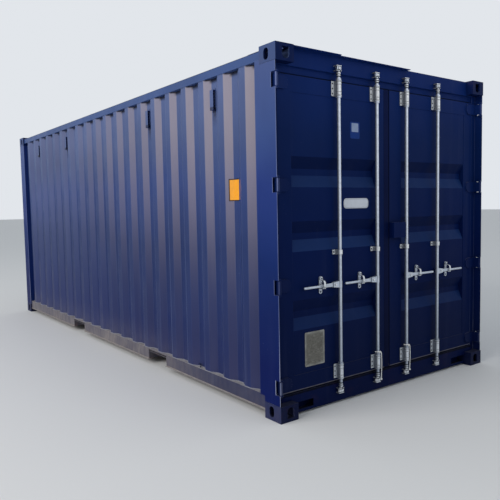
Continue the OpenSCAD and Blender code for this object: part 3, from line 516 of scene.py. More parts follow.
def rope_yarn():
    t = Tree("rope_nylon")
    lay = t.node("TexWave", {"Vector": t.co, "Scale": 90.0, "Distortion": 2.0, "Detail": 2.0},
                 wave_type="BANDS", bands_direction="DIAGONAL").outputs["Fac"]
    t.col = t.mix(lay, lin("#efede6"), lin("#ffffff"))
    t.tint(t.span(t.noise(60, 5), 0.55, 0.75, 0, 0.18), "#a09a8c")
    t.finish(Roughness=0.75, Sheen_Weight=0.3, Normal=t.bump(lay, 0.7, 0.0012))


def dark_metal_and_shade(name, low, high):
    """Dark metal for screws, and painted shade for gaps, grooves and holes that show black."""
    t = Tree(name)
    t.col = t.mix(t.span(t.noise(60, 5, 0.6), 0.35, 0.7), lin(low), lin(high))
    t.finish(Metallic=0.4, Roughness=t.span(t.noise(90), 0, 1, 0.4, 0.65),
             Normal=t.bump(t.noise(200), 0.2, 0.0004))


def even(code):
    """The stops of a paint that has one colour at all heights."""
    return ((0.0, code), (2.5, code))


# The paints, with what the door end and the two kinds of post share. Each ramp grows lighter towards the top
# as painted sky light, and SIDE and POST are a paler copy of the blue, painted as lit, where END is a darker
# copy, painted as shaded.
END = ((0.35, "#07163e"), (1.2, "#041849"), (2.0, "#0b2356"), (2.5, "#122b68"))
SIDE = ((0.35, "#0b1f58"), (1.2, "#122a5e"), (1.7, "#293e76"), (2.1, "#40517d"), (2.45, "#4e5e8a"))
POST = ((0.4, "#031552"), (1.1, "#0e2660"), (1.6, "#25397a"), (2.0, "#3d5288"), (2.4, "#4a5a8a"))
DOOR_END = {"scuff": 0.16, "dents": 0.12, "dark": NAVY}
POSTS = {"scuff": 0.25, "dents": 0.15, "edge": 0.9, "spec": 0.06}
paint("paint_side", SIDE, slope=0.95, road=0.26, road_z=0.45, road_x=(0.7, 2.3), dents=0.30)
paint("paint_end", END, spec=0.04, hem=(0.1700, 0.1830, "#8d8a8c", 0.5), dust=0.10, **DOOR_END)
# Panels: painted sky light on slopes that look up, painted shade on slopes that look down.
paint("paint_panel", END, spec=0.04, lit="#1d3566", dust=0.15, **DOOR_END)
paint("paint_hinge", END, spec=0.06, edge=0.9, edge_low=0.25, dust=0.04, **DOOR_END)
# Vents: faces that don't look to the sides take the dark door-end ramp as painted shade, and the dark band
# round their foot is painted shadow.
paint("paint_vent", SIDE, END, hem=(VENT_LOW - 0.020, VENT_LOW + 0.026, "#0c1230", 1.0), scuff=0.3,
      dents=0.2)
paint("paint_roof", ((0.0, "#1f3168"), (2.5, "#22346a")), scuff=0.35)
paint("paint_top", even("#374f82"), scuff=0.35, dents=0.2)
paint("paint_rail", ((0.0, "#141f49"), (0.2, "#13204a")), hem=(0.050, 0.063, "#b3a79b", 0.55), dust=1.0,
      road=0.95, road_z=0.60, road_x=(0.7, 2.3), scuff=0.5, rust=0.05, dents=0.15)
# Post faces that don't look to the sides take the door-end ramp as painted shade; on the front posts they
# take a lighter ramp, painted light in the shaded flank.
paint("paint_post", POST, END, **POSTS)
paint("paint_front", POST, ((0.4, "#142760"), (2.4, "#1a2d64")), **POSTS)
# A paler copy of the door-end blue, painted highlight for the welds of the right leaf.
paint("paint_weld_highlight", ((0.0, "#16244f"), (2.5, "#24356a")), dark="#0a1438", scuff=0.3, spec=0.06)
paint("weld_dust", even("#8b8c98"), dark="#4a4f66", scuff=0.2, spec=0.08)
# Corner castings: the faces that don't look to the sides take a darker ramp, painted shade.
paint("paint_cast", ((0.0, "#15224e"), (2.5, "#465680")), ((0.0, "#041034"), (2.5, "#0a1d4c")), edge=0.3,
      dust=0.06, road=0.14, scuff=0.4, rust=0.05, dents=0.4, spec=0.05)
# Sill: painted shadow, near black on its top faces and in a dark band along its upper front.
paint("paint_sill", ((0.0, "#05123a"), (0.2, "#05123c")), lit="#03050c", dark=NAVY,
      hem=(0.150, 0.300, "#02040c", 1.0), dust=0.05, rust=0.03, dents=0.2, spec=0.04)
paint("paint_under", even("#15203f"), dust=0.2, road=0.5, scuff=0.5, rust=0.3, dents=0.4, rough=0.6)
paint("gap_film", ((0.3, "#030c30"), (2.3, "#071644")), dark="#01040f", dust=0.1, scuff=0.05, dents=0.1,
      spec=0.04)

# Metal, rubber, wood, rope and the films of the labels.
galvanised("zinc_gear", cams=0.75)
# A paler copy of the same zinc: painted light for the brackets, handles, catches, keepers and rod fittings
# at the shaded door end.
galvanised("zinc_bright", "#dfe5ec", "#fdfeff", dirt=0.2)
galvanised("zinc_worn", "#858d99", "#bcc3ca", dirt=0.5, rust=0.2)
dark_metal_and_shade("seam_dark", "#05070c", "#10141c")
dark_metal_and_shade("dark_steel", "#2e3136", "#5c5f62")
rubber()
floor_wood()
rope_yarn()
plate_metal()
enamel("label_white", "#d3d7e0", "#9499a2", 0.35, 0.2)
enamel("label_line", "#5b626e", "#3c424e", 0.35, 0.2)
enamel("label_blue", "#0c357e", "#0d2656", 0.3, 0.3, 0.1)
enamel("label_pale", "#8a9abb", "#56709f", 0.3, 0.4)
enamel("plate_orange", "#f8a404", "#b4720c", 0.4, 0.2)
for rope in ropes:
    rope.data.materials.append(materials["rope_nylon"])


def soften(o, width, segments, angle):
    """Rounds the edges that are sharper than an angle in degrees."""
    bevel = o.modifiers.new("bevel", "BEVEL")
    bevel.width = width
    bevel.segments = segments
    bevel.limit_method = "ANGLE"
    bevel.angle_limit = math.radians(angle)
    return bevel


def dress(name, material, width=0.0, segments=2, angle=32):
    """A CAD node gets its material, and softer edges by modifiers alone."""
    o = nodes[name]
    if not o.data.materials:
        o.data.materials.append(materials[material])
    for s in o.material_slots:
        s.link = "OBJECT"
        s.material = materials[material]
    if width:
        weld = o.modifiers.new("weld", "WELD")
        weld.merge_threshold = 0.00005
        soften(o, width, segments, angle)
        normals = o.modifiers.new("normals", "WEIGHTED_NORMAL")
        normals.weight = 60


# How the nodes are dressed: the starts of their names, then material, edge radius, segments and angle.
LOOKS = (
    ("floor", "floor_wood"),
    (("door_left_seal", "door_right_seal"), "seal_rubber", 0.0008),
    (("side_wall", "front_wall"), "paint_side", 0.007, 3, 15),
    ("roof", "paint_roof", 0.003, 2, 15),
    ("vents", "paint_vent", 0.002),
    (("door_left_panel", "door_right_panel"), "paint_panel", 0.006, 3, 12),
    ("door_post", "paint_post", 0.004, 3),
    ("front_post", "paint_front", 0.004, 3),
    ("top_rail", "paint_top", 0.003),
    (("bottom_corner", "top_corner"), "paint_cast", 0.006, 3),
    ("bottom_rail", "paint_rail", 0.0012),
    (("door_sill", "front_bottom_rail"), "paint_sill", 0.003),
    (("crossmembers", "pocket"), "paint_under", 0.0012),
    (("door_left_hinges", "door_right_hinges", "hinge_lugs"), "paint_hinge", 0.0012),
    (("door_left_brackets", "door_right_brackets", "handle"), "zinc_bright", 0.0012),
    (("door_left_retainers", "door_right_retainers", "rod_"), "zinc_gear", 0.0012),
    (("catch", "cam_keepers"), "zinc_bright", 0.001),
    (("rope_left", "rope_right"), "rope_nylon"),
    ("", "paint_end", 0.002),
)
for n in nodes:
    dress(n, *next(look[1:] for look in LOOKS if n.startswith(look[0])))

# The record's slots by material. All others are blue_paint.
SLOTS = {name: "galvanised" for name in ("zinc_gear", "zinc_bright", "zinc_worn", "seam_dark", "dark_steel",
                                         "data_plate_metal")}
SLOTS.update(seal_rubber="rubber_seal", gap_film="rubber_seal")


# Mesh building.
def add_box(bm, lo, hi):
    size = [abs(b - a) for a, b in zip(lo, hi)]
    middle = Matrix.Translation((Vector(lo) + Vector(hi)) / 2)
    bmesh.ops.create_cube(bm, size=1, matrix=middle @ Matrix.Diagonal(size + [1]))


def circle(centre, r, axis, n, turn=0.0):
    """Points round a centre, across an axis of length one."""
    u = axis.orthogonal().normalized()
    v = axis.cross(u)
    turns = (turn + math.tau * i / n for i in range(n))
    return [centre + r * (math.cos(a) * u + math.sin(a) * v) for a in turns]


def bridge(bm, a, b):
    """Faces between two rings of as many vertices, or between a ring and one vertex."""
    n = max(len(a), len(b))
    for i in range(n):
        j = (i + 1) % n
        if len(a) == 1:
            bm.faces.new((a[0], b[j], b[i]))
        elif len(b) == 1:
            bm.faces.new((a[i], a[j], b[0]))
        else:
            bm.faces.new((a[i], a[j], b[j], b[i]))


def add_loft(bm, rings):
    """Joins rings of points into one closed tube with flat ends."""
    rows = [[bm.verts.new(p) for p in ring] for ring in rings]
    bm.faces.new(rows[0][::-1])
    bm.faces.new(rows[-1])
    for a, b in zip(rows, rows[1:]):
        bridge(bm, a, b)


def add_turned(bm, at, axis, profile, n=24, turn=0.0):
    """A solid of revolution with a flat foot. profile is (distance along axis, radius) from foot to tip."""
    at, axis = Vector(at), Vector(axis).normalized()
    rows = [[bm.verts.new(at + axis * profile[0][0])]]
    for h, r in profile:
        centre = at + axis * h
        points = circle(centre, r, axis, n, turn) if r > 0 else [centre]
        rows.append([bm.verts.new(p) for p in points])
    for a, b in zip(rows, rows[1:]):
        bridge(bm, a, b)


def add_disc(bm, at, axis, r, h, n=32):
    add_turned(bm, at, axis, ((0, r), (h, r), (h, 0)), n)


def add_collar(bm, at, axis, r, bulge, chamfer, h):
    """A ring that widens from r to bulge over a chamfer at both ends."""
    add_turned(bm, at, axis, ((0, r), (chamfer, bulge), (h - chamfer, bulge), (h, r), (h, 0)), 32)


def add_bolt(bm, at, axis, r, h):
    """A hexagon head with a rounded crown on a washer."""
    turn = random.uniform(0, math.tau)
    at, axis = Vector(at), Vector(axis).normalized()
    wide = r * 1.35
    add_turned(bm, at, axis, ((0, wide), (0.0012, wide), (0.0016, r * 1.28), (0.0016, 0)))
    add_turned(bm, at + axis * 0.0015, axis, ((0, r), (h * 0.82, r), (h, r * 0.84), (h, 0)), 6, turn)


def add_rivet(bm, at, axis, r, h):
    dome = [(h * math.sin(a), r * math.cos(a)) for a in (0, 0.35, 0.7, 1.05, 1.35)]
    add_turned(bm, at, axis, dome + [(h, 0)], 16)


def add_plate(bm, outline, axis, lo, hi):
    """An outline across X or Z, drawn out from lo to hi along that axis."""
    if axis == X:
        rings = [[(c, a, b) for a, b in outline] for c in (lo, hi)]
    else:
        rings = [[(a, b, c) for a, b in outline] for c in (lo, hi)]
    add_loft(bm, rings)


def rounded(box, r, inset=0.0, n=6):
    """A rectangle with round corners, drawn in by inset."""
    a0, b0, a1, b1 = box
    r = r - inset
    a0, b0, a1, b1 = a0 + inset + r, b0 + inset + r, a1 - inset - r, b1 - inset - r
    out = []
    for a, b, start in ((a1, b1, 0), (a0, b1, 90), (a0, b0, 180), (a1, b0, 270)):
        for turn in (math.radians(start + 90 * i / n) for i in range(n + 1)):
            out.append((a + r * math.cos(turn), b + r * math.sin(turn)))
    return out


def add_bead(bm, points, r, n=6):
    """A weld bead along points, a little uneven."""
    rings = []
    for i, p in enumerate(points):
        way = (points[min(i + 1, len(points) - 1)] - points[max(i - 1, 0)]).normalized()
        rings.append(circle(p, r * random.uniform(0.82, 1.12), way, n))
    add_loft(bm, rings)


def seam(a, b, step=0.008):
    """Points from a to b, about a step apart."""
    a, b = Vector(a), Vector(b)
    k = max(2, int((b - a).length / step))
    return [a.lerp(b, i / k) for i in range(k + 1)]


def make(name, bm, material, body, width=0.0, angle=35):
    """A mesh becomes a piece that rides on a body, with its edges beveled by width."""
    bmesh.ops.recalc_face_normals(bm, faces=bm.faces)
    mesh = bpy.data.meshes.new(name)
    bm.to_mesh(mesh)
    bm.free()
    mesh.shade_smooth()
    mesh.set_sharp_from_angle(angle=math.radians(angle))
    mesh.materials.append(materials[material])
    o = place(name, mesh)
    if width:
        soften(o, width, 2, 30).harden_normals = True
    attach(o, body)
    return o


# Handles: flat arms that turn into round grips.
# Each station has its distance from the rod, half depth, half height, squareness and lean to the front.
ARM = ((0.0385, 0.0030, 0.0060, 2.2, 0), (0.0395, 0.0046, 0.0098, 2.6, 0), (0.043, 0.0050, 0.0128, 4, 0),
       (0.050, 0.0050, 0.0140, 6, 0), (0.064, 0.0050, 0.0138, 8, 0), (0.100, 0.0050, 0.0131, 8, 0),
       (0.140, 0.0050, 0.0124, 8, 0), (0.182, 0.0050, 0.0118, 8, 0), (0.196, 0.0056, 0.0112, 5, 0.0003),
       (0.208, 0.0070, 0.0100, 3, 0.0010), (0.220, 0.0084, 0.0091, 2.3, 0.0018),
       (0.234, 0.0089, 0.0089, 2, 0.0026), (0.270, 0.0090, 0.0090, 2, 0.0036),
       (0.310, 0.0092, 0.0092, 2, 0.0042), (0.340, 0.0093, 0.0093, 2, 0.0044),
       (0.3535, 0.0090, 0.0090, 2, 0.0044), (0.3585, 0.0075, 0.0075, 2, 0.0044),
       (0.3612, 0.0046, 0.0046, 2, 0.0044), (0.362, 0.0016, 0.0016, 2, 0.0044))


def station(x, y, z, depth, height, power, n=28):
    """Points round a handle: an oval of two half sizes, squarer with more power."""
    points = []
    for c, s in ((math.cos(a), math.sin(a)) for a in (math.tau * i / n for i in range(n))):
        points.append(Vector((x + depth * math.copysign(abs(c) ** (2 / power), c), y,
                              z + height * math.copysign(abs(s) ** (2 / power), s))))
    return points


def handle(i, y, hand):
    x, _, z = PINS[f"handle_{i}_lift"]
    bm = bmesh.new()
    add_loft(bm, [station(x + lean, y + hand * d, z, a, b, power) for d, a, b, power, lean in ARM])
    arm = make(f"handle_arm_{i}", bm, "zinc_gear", f"handle_{i}", angle=38)
    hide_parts(f"handle_{i}")


# Rods: pivot bolts at the fork, collars, caps and pins at the cams, and dark discs in the gaps of their
# bearings, painted shade.
CAP = ((0, 0.0085), (0.003, 0.0078), (0.0042, 0.005), (0.0044, 0))
CAM_PIN = ((0, 0.0085), (0.002, 0.0085), (0.0042, 0.0062), (0.0048, 0.003), (0.005, 0))
CAM_FACE, CAM_END, SLEEVE_GAP = 0.0088, 0.0098, 0.0545

# Gaps along a rod: distance from the cam, radius and height.
GAPS = ((0.0110, 0.0141, 0.0050), (0.0250, 0.0139, 0.0050), (0.0415, 0.0139, 0.0050),
        (0.0560, 0.0139, 0.0080))


def rod_fittings(i, y):
    x, pivot_y, pivot_z = PINS[f"handle_{i}_lift"]
    bm, gaps = bmesh.new(), bmesh.new()
    for way in (1, -1):
        add_bolt(bm, (x + way * 0.012, pivot_y, pivot_z), (way, 0, 0), 0.0095, 0.007)
    for z, inward in CAMS:
        add_collar(bm, (ROD_X, y, z + inward * 0.031), (0, 0, inward), 0.0135, 0.0158, 0.001, 0.010)
        add_collar(bm, (ROD_X, y, z + inward * 0.047), (0, 0, inward), 0.0138, 0.0150, 0.0015, 0.0075)
        add_turned(bm, (ROD_X, y, z - inward * CAM_END), (0, 0, -inward), CAP, 20)
        add_turned(bm, (ROD_X + CAM_FACE, y, z), OUT, CAM_PIN)
        # Dark discs in the gaps, painted shade.
        for along, r, h in GAPS:
            add_disc(gaps, (ROD_X, y, z + inward * along), (0, 0, inward), r, h)
        add_disc(gaps, (ROD_X + CAM_FACE, y, z), OUT, 0.0115, 0.0010, 24)
    for z in BRACKETS:
        for way in (1, -1):
            add_disc(gaps, (ROD_X, y, z + way * SLEEVE_GAP), (0, 0, way), 0.0150, 0.0030)
    make(f"rod_gaps_{i}", gaps, "seam_dark", f"rod_{i}")
    make(f"rod_fittings_{i}", bm, "zinc_bright", f"rod_{i}", 0.0004)


# Retainers: the dome and the eye at the catch's pivot, and four rivets below. The eye is a dark disc,
# painted shade in its hole.
DOME = ((0, 0.0098), (0.003, 0.0098), (0.0052, 0.0072), (0.0062, 0.003), (0.0064, 0))


def retainer(i, body):
    x, y, z = PINS[f"catch_{i}_swing"]
    bm, eye = bmesh.new(), bmesh.new()
    add_turned(bm, (x + 0.0035, y, z), OUT, DOME, 28)
    for down in (0.030, 0.096):
        for side in (-0.009, 0.009):
            add_rivet(bm, (LEAF_X + 0.003, y + side, z - down), OUT, 0.0042, 0.0026)
    # The eye: a dark disc, painted shade.
    add_disc(eye, (x + 0.0096, y, z), OUT, 0.0058, 0.0010, 20)
    make(f"retainer_eye_{i}", eye, "seam_dark", body)
    make(f"retainer_rivets_{i}", bm, "zinc_gear", body)


# Catches: a washer, and a strap that bends from the pivot down over the handle.
# Each point of the strap has its way out and down from the pivot, half width, and lean in degrees.
STRAP_HALF = 0.0022
STRAP = ((0.0038, 0.0000, 0.0088, 0), (0.0044, 0.0060, 0.0088, 10), (0.0080, 0.0103, 0.0086, 50),
         (0.0160, 0.0126, 0.0084, 76), (0.0270, 0.0140, 0.0084, 80), (0.0345, 0.0173, 0.0084, 55),
         (0.0394, 0.0245, 0.0086, 28), (0.0410, 0.0340, 0.0088, 5), (0.0410, 0.0580, 0.0088, 0),
         (0.0410, 0.0645, 0.0084, 0), (0.0410, 0.0690, 0.0066, 0), (0.0410, 0.0712, 0.0036, 0))


def catch(i):
    x, y, z = PINS[f"catch_{i}_swing"]
    bm, eye = bmesh.new(), bmesh.new()
    add_collar(bm, (x + 0.0012, y, z), OUT, 0.0130, 0.0136, 0.0006, 0.0054)
    rings = []
    for out, down, half, lean in STRAP:
        a = math.radians(lean)
        rings.append([Vector((x + out + k * STRAP_HALF * math.cos(a), y + side * half,
                              z - down + k * STRAP_HALF * math.sin(a)))
                      for k, side in ((-1, -1), (1, -1), (1, 1), (-1, 1))])
    add_loft(bm, rings)
    # A dark disc in the strap's lower hole, painted shade.
    add_disc(eye, (x + 0.0430, y, z - 0.0615), OUT, 0.0046, 0.0005, 20)
    make(f"catch_eye_{i}", eye, "seam_dark", f"catch_{i}")
    strap = make(f"catch_strap_{i}", bm, "zinc_bright", f"catch_{i}", 0.0006)
    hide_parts(f"catch_{i}")


# Rod brackets: screws and rivets beside the rod, rings and grooves round the sleeve. The grooves are dark
# beads, painted shade.
SCREW_SIDE = 0.0335
SCREW = ((0, 0.0054), (0.0012, 0.0054), (0.0030, 0.0042), (0.0038, 0.0024), (0.0040, 0))
GUIDE_SCREW = ((0, 0.0058), (0.0012, 0.0058), (0.003, 0.0044), (0.0036, 0.002), (0.0038, 0))
RIM, RIDGE, GROOVE = 0.0024, 0.0014, 0.0010
SLEEVE_RINGS = ((-0.0515, RIM), (-0.046, GROOVE), (-0.030, RIDGE), (-0.0265, GROOVE),
                (0.0265, GROOVE), (0.030, RIDGE), (0.046, GROOVE), (0.0515, RIM))


def sleeve_ring(y, z, n=40):
    return [Vector((ROD_X + SLEEVE_R * math.cos(a), y + SLEEVE_R * math.sin(a), z))
            for a in (math.tau * k / n for k in range(n + 1))]


def brackets(body, rods):
    bolts, domes, rings, grooves = (bmesh.new() for _ in range(4))
    x = LEAF_X + BRACKET_T
    for y in rods:
        side = y - SCREW_SIDE
        for z in BRACKETS:
            for up in (0.036, 0.0, -0.036):
                add_turned(bolts, (x, side, z + up), OUT, SCREW, 20)
            for up in (0.018, -0.018):
                add_rivet(domes, (x, side, z + up), OUT, 0.0048, 0.0026)
            for up, r in SLEEVE_RINGS:
                # Grooves are dark beads, painted shade.
                add_bead(grooves if r == GROOVE else rings, sleeve_ring(y, z + up), r)
            foot = [(x + 0.0006, y - SLEEVE_R, z + up) for up in (-0.052, 0.052)]
            add_bead(rings, seam(*foot), 0.0016)
        guide_x = (LEAF_X if y in RODS[1:3] else PANEL_X) + BRACKET_T
        add_turned(bolts, (guide_x, side, GUIDE_Z), OUT, GUIDE_SCREW, 20)
    make(body + "_bracket_bolts", bolts, "seam_dark", body)
    make(body + "_bracket_domes", domes, "zinc_bright", body)
    make(body + "_bracket_rings", rings, "zinc_bright", body)
    make(body + "_bracket_grooves", grooves, "seam_dark", body)


# Cam keepers.
def keeper_welds():
    """Beads of the keepers: one along the side away from the rod, two short ones on the side of the rod."""
    bm = bmesh.new()
    x = KEEPER_X + 0.0006
    for y in RODS:
        for z, inward in CAMS:
            far, near = z - inward * 0.0205, z + inward * 0.0205
            add_bead(bm, seam((x, y - 0.026, far), (x, y + 0.026, far)), 0.0016)
            for way in (-1, 1):
                add_bead(bm, seam((x, y + way * 0.016, near), (x, y + way * 0.026, near), 0.004), 0.0014)
    make("keeper_welds", bm, "paint_end", "frame")


# Hinges: heads of the pins, and the welds of the blades, which end in a half circle.
PIN_HEAD = ((-0.001, 0.0105), (0.0022, 0.0105), (0.0038, 0.0085), (0.0038, 0))
PIN_HALF, BLADE_Y0, BLADE_Y1, BLADE_ROUND = 0.059, 1.150, 1.108, 1.105


def hinge_pins():
    bm = bmesh.new()
    x, y, _ = PINS["door_right_hinge"]
    for hand in (-1, 1):
        for z in HINGES:
            for way in (-1, 1):
                add_turned(bm, (x, hand * y, z + way * PIN_HALF), (0, 0, way), PIN_HEAD, 28)
    make("hinge_pin_heads", bm, "paint_hinge", "frame")


def hinge_welds(hand, body):
    bm = bmesh.new()
    x, r, half = LEAF_X + 0.0008, 0.0022, BLADE_HALF + 0.0008
    for z in HINGES:
        for edge in (z - half, z + half):
            add_bead(bm, seam((x, hand * BLADE_Y0, edge), (x, hand * BLADE_Y1, edge)), r)
        add_bead(bm, [Vector((x, hand * (BLADE_ROUND - half * math.sin(a)), z + half * math.cos(a)))
                      for a in (math.pi * k / 18 for k in range(19))], r)
    # The right leaf's welds are paler, painted highlight.
    make(body + "_hinge_welds", bm, "paint_weld_highlight" if hand > 0 else "paint_end", body)


# Labels and plates on the left leaf, left bare.
def sticker(name, box, r, lo, hi, material, width=0.0002):
    bm = bmesh.new()
    add_plate(bm, rounded(box, r), X, PANEL_X + lo, PANEL_X + hi)
    make(name, bm, material, "door_left", width)


def label_border():
    """A raised line round the white label."""
    bm = bmesh.new()
    outlines = [rounded(WHITE_LABEL, WHITE_R, inset) for inset in (0.006, 0.0075)]
    front, back = ([[bm.verts.new((PANEL_X + out, a, b)) for a, b in ring] for ring in outlines]
                   for out in (0.00115, 0.0006))
    for a, b in ((front[0], front[1]), (back[1], back[0]), (back[0], front[0]), (front[1], back[1])):
        bridge(bm, a, b)
    make("label_border", bm, "label_line", "door_left")


def data_plate():
    """A plate with ruled rows and columns and a rivet in each corner."""
    bm = bmesh.new()
    y0, z0, y1, z1 = DATA_PLATE
    y_rule, z_rule, line = 0.010, 0.009, 0.0006
    y_rivet, z_rivet = 0.005, 0.0055
    back, front = PANEL_X + 0.0014, PANEL_X + 0.0020
    add_plate(bm, rounded(DATA_PLATE, DATA_R), X, PANEL_X + 0.0001, PANEL_X + 0.0016)
    for z in (z0 + (z1 - z0) * k / 8 for k in range(1, 8)):
        add_box(bm, (back, y0 + y_rule, z - line), (front, y1 - y_rule, z + line))
    for y in (y0 + y_rule, y0 + 0.065, y1 - 0.0655, y1 - y_rule):
        add_box(bm, (back, y - line, z0 + z_rule), (front, y + line, z1 - z_rule))
    for y in (y0 + y_rivet, y1 - y_rivet):
        for z in (z0 + z_rivet, z1 - z_rivet):
            add_rivet(bm, (PANEL_X + 0.0015, y, z), OUT, 0.0034, 0.0016)
    make("data_plate", bm, "data_plate_metal", "door_left", 0.0002)


# Height plate on the left side wall: bare, bent over a slope and the recess beside it.
PLATE_X, PLATE_Z = (2.4145, 2.5120), (1.558, 1.7095)
PLATE_BEND = 9 * PITCH - SHIFT - FOLD_IN


def height_plate(name, material, pad, back, front):
    """The plate, or with a pad below 0 the dark rim round it, between two distances from the wall."""
    bm = bmesh.new()
    z0, z1 = PLATE_Z[0] + pad, PLATE_Z[1] - pad
    slope = Vector((FACE_Y - BACK_Y, -FOLD_SLOPE, 0)).normalized()
    rings = []
    for x in (PLATE_X[0] + pad, 2.430, PLATE_BEND - 0.001, PLATE_BEND + 0.001, 2.490, PLATE_X[1]):
        out = slope if x < PLATE_BEND else Vector((0, -1, 0))
        wall = Vector((x, -fold_line(x), 0))
        a, b = wall + out * back, wall + out * front
        rings.append([(a.x, a.y, z0), (b.x, b.y, z0), (b.x, b.y, z1), (a.x, a.y, z1)])
    add_loft(bm, rings)
    make(name, bm, material, "frame", 0.0002)


# Gap between the leaves.
def mid_seal(hand, body):
    """A rubber lip that closes the gap between the leaves, and the dark film on the edge beside it."""
    lip, film = bmesh.new(), bmesh.new()
    outline = ((0.027, 0.0058), (0.003, 0.0058), (0.006, 0.0012), (0.024, 0.0012))
    add_plate(lip, [(LEAF_X - back, hand * off) for back, off in outline], Z, *LEAF_Z)
    wide = 0.0600 if hand < 0 else 0.0090
    outline = ((0.0002, 0.0040), (0.0014, 0.0044), (0.0014, wide - 0.001), (0.0002, wide))
    add_plate(film, [(LEAF_X + out, hand * off) for out, off in outline], Z, *LEAF_Z)
    make(body + "_mid_seal", lip, "seal_rubber", body, 0.0006)
    make(body + "_mid_film", film, "gap_film", body, 0.0006)


# Vents: a flange and a rivet at both ends, and six louvres between.
FLANGE_HALF, FLANGE_Z0, FLANGE_Z1 = 0.021, 0.077, 0.092
LOUVRES, LOUVRE_STEP, LOUVRE_LOW = 6, 0.0242, 0.058


def vents():
    bm, rivets = bmesh.new(), bmesh.new()
    middle = (VENT_LOW + VENT_HIGH) / 2
    lo, hi = BACK_Y - 0.0005, BACK_Y + 0.0030
    root, tip = BACK_Y + 0.005, BACK_Y + 0.0235
    for side in (-1, 1):
        for x in VENTS:
            for off in ((FLANGE_Z0, FLANGE_Z1), (-FLANGE_Z1, -FLANGE_Z0)):
                z0, z1 = middle + off[0], middle + off[1]
                add_box(bm, (x - FLANGE_HALF, side * lo, z0), (x + FLANGE_HALF, side * hi, z1))
                add_rivet(rivets, (x, side * hi, (z0 + z1) / 2), (0, side, 0), 0.0045, 0.0022)
            for z in (middle - LOUVRE_LOW + j * LOUVRE_STEP for j in range(LOUVRES)):
                add_plate(bm, [(side * root, z), (side * tip, z - 0.012), (side * tip, z - 0.0105),
                               (side * root, z + 0.0015)], X, x + 0.001, x + 0.0225)
    make("vent_louvres", bm, "paint_vent", "frame", 0.0004)
    make("vent_rivets", rivets, "paint_vent", "frame")


# Welds along the side walls.
def wall_weld(name, material, z, r, n=520):
    """A bead along both side walls, in and out with the folds."""
    bm = bmesh.new()
    x0, x1 = WALL_X[0] + 0.005, WALL_X[1] - 0.002
    for side in (-1, 1):
        xs = [x0 + k * (x1 - x0) / (n - 1) for k in range(n)]
        add_bead(bm, [Vector((x, side * (fold_line(x) + 0.0008), z)) for x in xs], r)
    make(name, bm, material, "frame")


# Floor: screws in rows across the boards, and the tread plate at the door end.
FLOOR_SCREW = ((-0.0005, 0.006), (0.0006, 0.0055), (0.0008, 0.002), (0.0004, 0))
SCREW_X0, SCREW_ROWS, SCREW_ROW = -2.62, 20, 0.276
SCREW_Y0, SCREWS, SCREW_STEP = -1.08, 9, 0.27
TREAD_X, TREAD_Y, TREAD_T = (2.70, reach("floor", X)[1] - 0.001), 1.14, 0.0025
LOZENGE_X0, LOZENGES, LOZENGE_STEP = 2.725, 4, 0.045
LOZENGE_Y1, LOZENGE_ROWS, LOZENGE_ROW = 1.12, 44, 0.052


def floor_screws():
    bm = bmesh.new()
    for k in range(SCREW_ROWS):
        for j in range(SCREWS):
            x = SCREW_X0 + k * SCREW_ROW + random.uniform(-0.003, 0.003)
            y = SCREW_Y0 + j * SCREW_STEP + random.uniform(-0.004, 0.004)
            add_turned(bm, (x, y, RAIL_TOP - 0.0002), (0, 0, 1), FLOOR_SCREW, 12)
    make("floor_screws", bm, "dark_steel", "frame")


def tread_plate():
    """A plate with raised lozenges, each turned across its neighbours."""
    bm = bmesh.new()
    top = RAIL_TOP + TREAD_T
    add_box(bm, (TREAD_X[0], -TREAD_Y, RAIL_TOP + 0.0001), (TREAD_X[1], TREAD_Y, top))
    for k in range(LOZENGE_ROWS):
        for j in range(LOZENGES):
            y = -LOZENGE_Y1 + k * LOZENGE_ROW + (LOZENGE_ROW / 2 if j % 2 else 0)
            at = Vector((LOZENGE_X0 + j * LOZENGE_STEP, y, top))
            if y >= LOZENGE_Y1:
                continue
            c, s = (0.7, 0.7) if (k + j) % 2 else (0.7, -0.7)
            long, short = Vector((c, s, 0)) * 0.013, Vector((-s, c, 0)) * 0.0035
            base = [bm.verts.new(at + a) for a in (long, short, -long, -short)]
            bridge(bm, base, [bm.verts.new(at + Vector((0, 0, 0.0014)))])
            bm.faces.new(base[::-1])
    make("threshold_plate", bm, "paint_sill", "frame", 0.0006)


# Lashing rings inside: a block on each fourth fold and a link that hangs from it or stands up.
BLOCK_HALF, BLOCK_T, LINK_HALF = 0.016, 0.009, 0.020
LINK_R, LINK_FAR, LINK_SWAY, HIGH_RINGS = 0.0032, 0.0165, 0.0135, 2.49


def lashing_rings():
    bm = bmesh.new()
    for side in (-1, 1):
        y = side * (BACK_Y - 0.003)
        for z, way in ((RAIL_TOP + 0.008, 1), (HIGH_RINGS, -1)):
            for x in (k * PITCH - SHIFT for k in (-8, -4, 0, 4, 8)):
                add_box(bm, (x - BLOCK_HALF, y - side * BLOCK_T, z - 0.006), (x + BLOCK_HALF, y, z + 0.006))
                link = [Vector((x + LINK_HALF * math.cos(a), y - side * 0.0105,
                                z + way * (LINK_FAR - LINK_SWAY * math.sin(a))))
                        for a in (math.tau * q / 20 for q in range(21))]
                add_bead(bm, link, LINK_R, 8)
    make("lashing_rings", bm, "zinc_worn", "frame")


# Doubler plates on the roof beside the top fittings, with one corner cut off.
DOUBLER = ((2.850, 1.200), (2.700, 1.200), (2.650, 1.145), (2.650, 1.096), (2.850, 1.096))


def roof_doublers():
    bm = bmesh.new()
    roof = reach("roof", Z)[0] + SHEET
    for end in (-1, 1):
        for side in (-1, 1):
            outline = [(end * x, side * y) for x, y in DOUBLER]
            add_plate(bm, outline if end == side else outline[::-1], Z, roof + 0.0001, roof + 0.0040)
    make("roof_doublers", bm, "paint_roof", "frame", 0.0008)


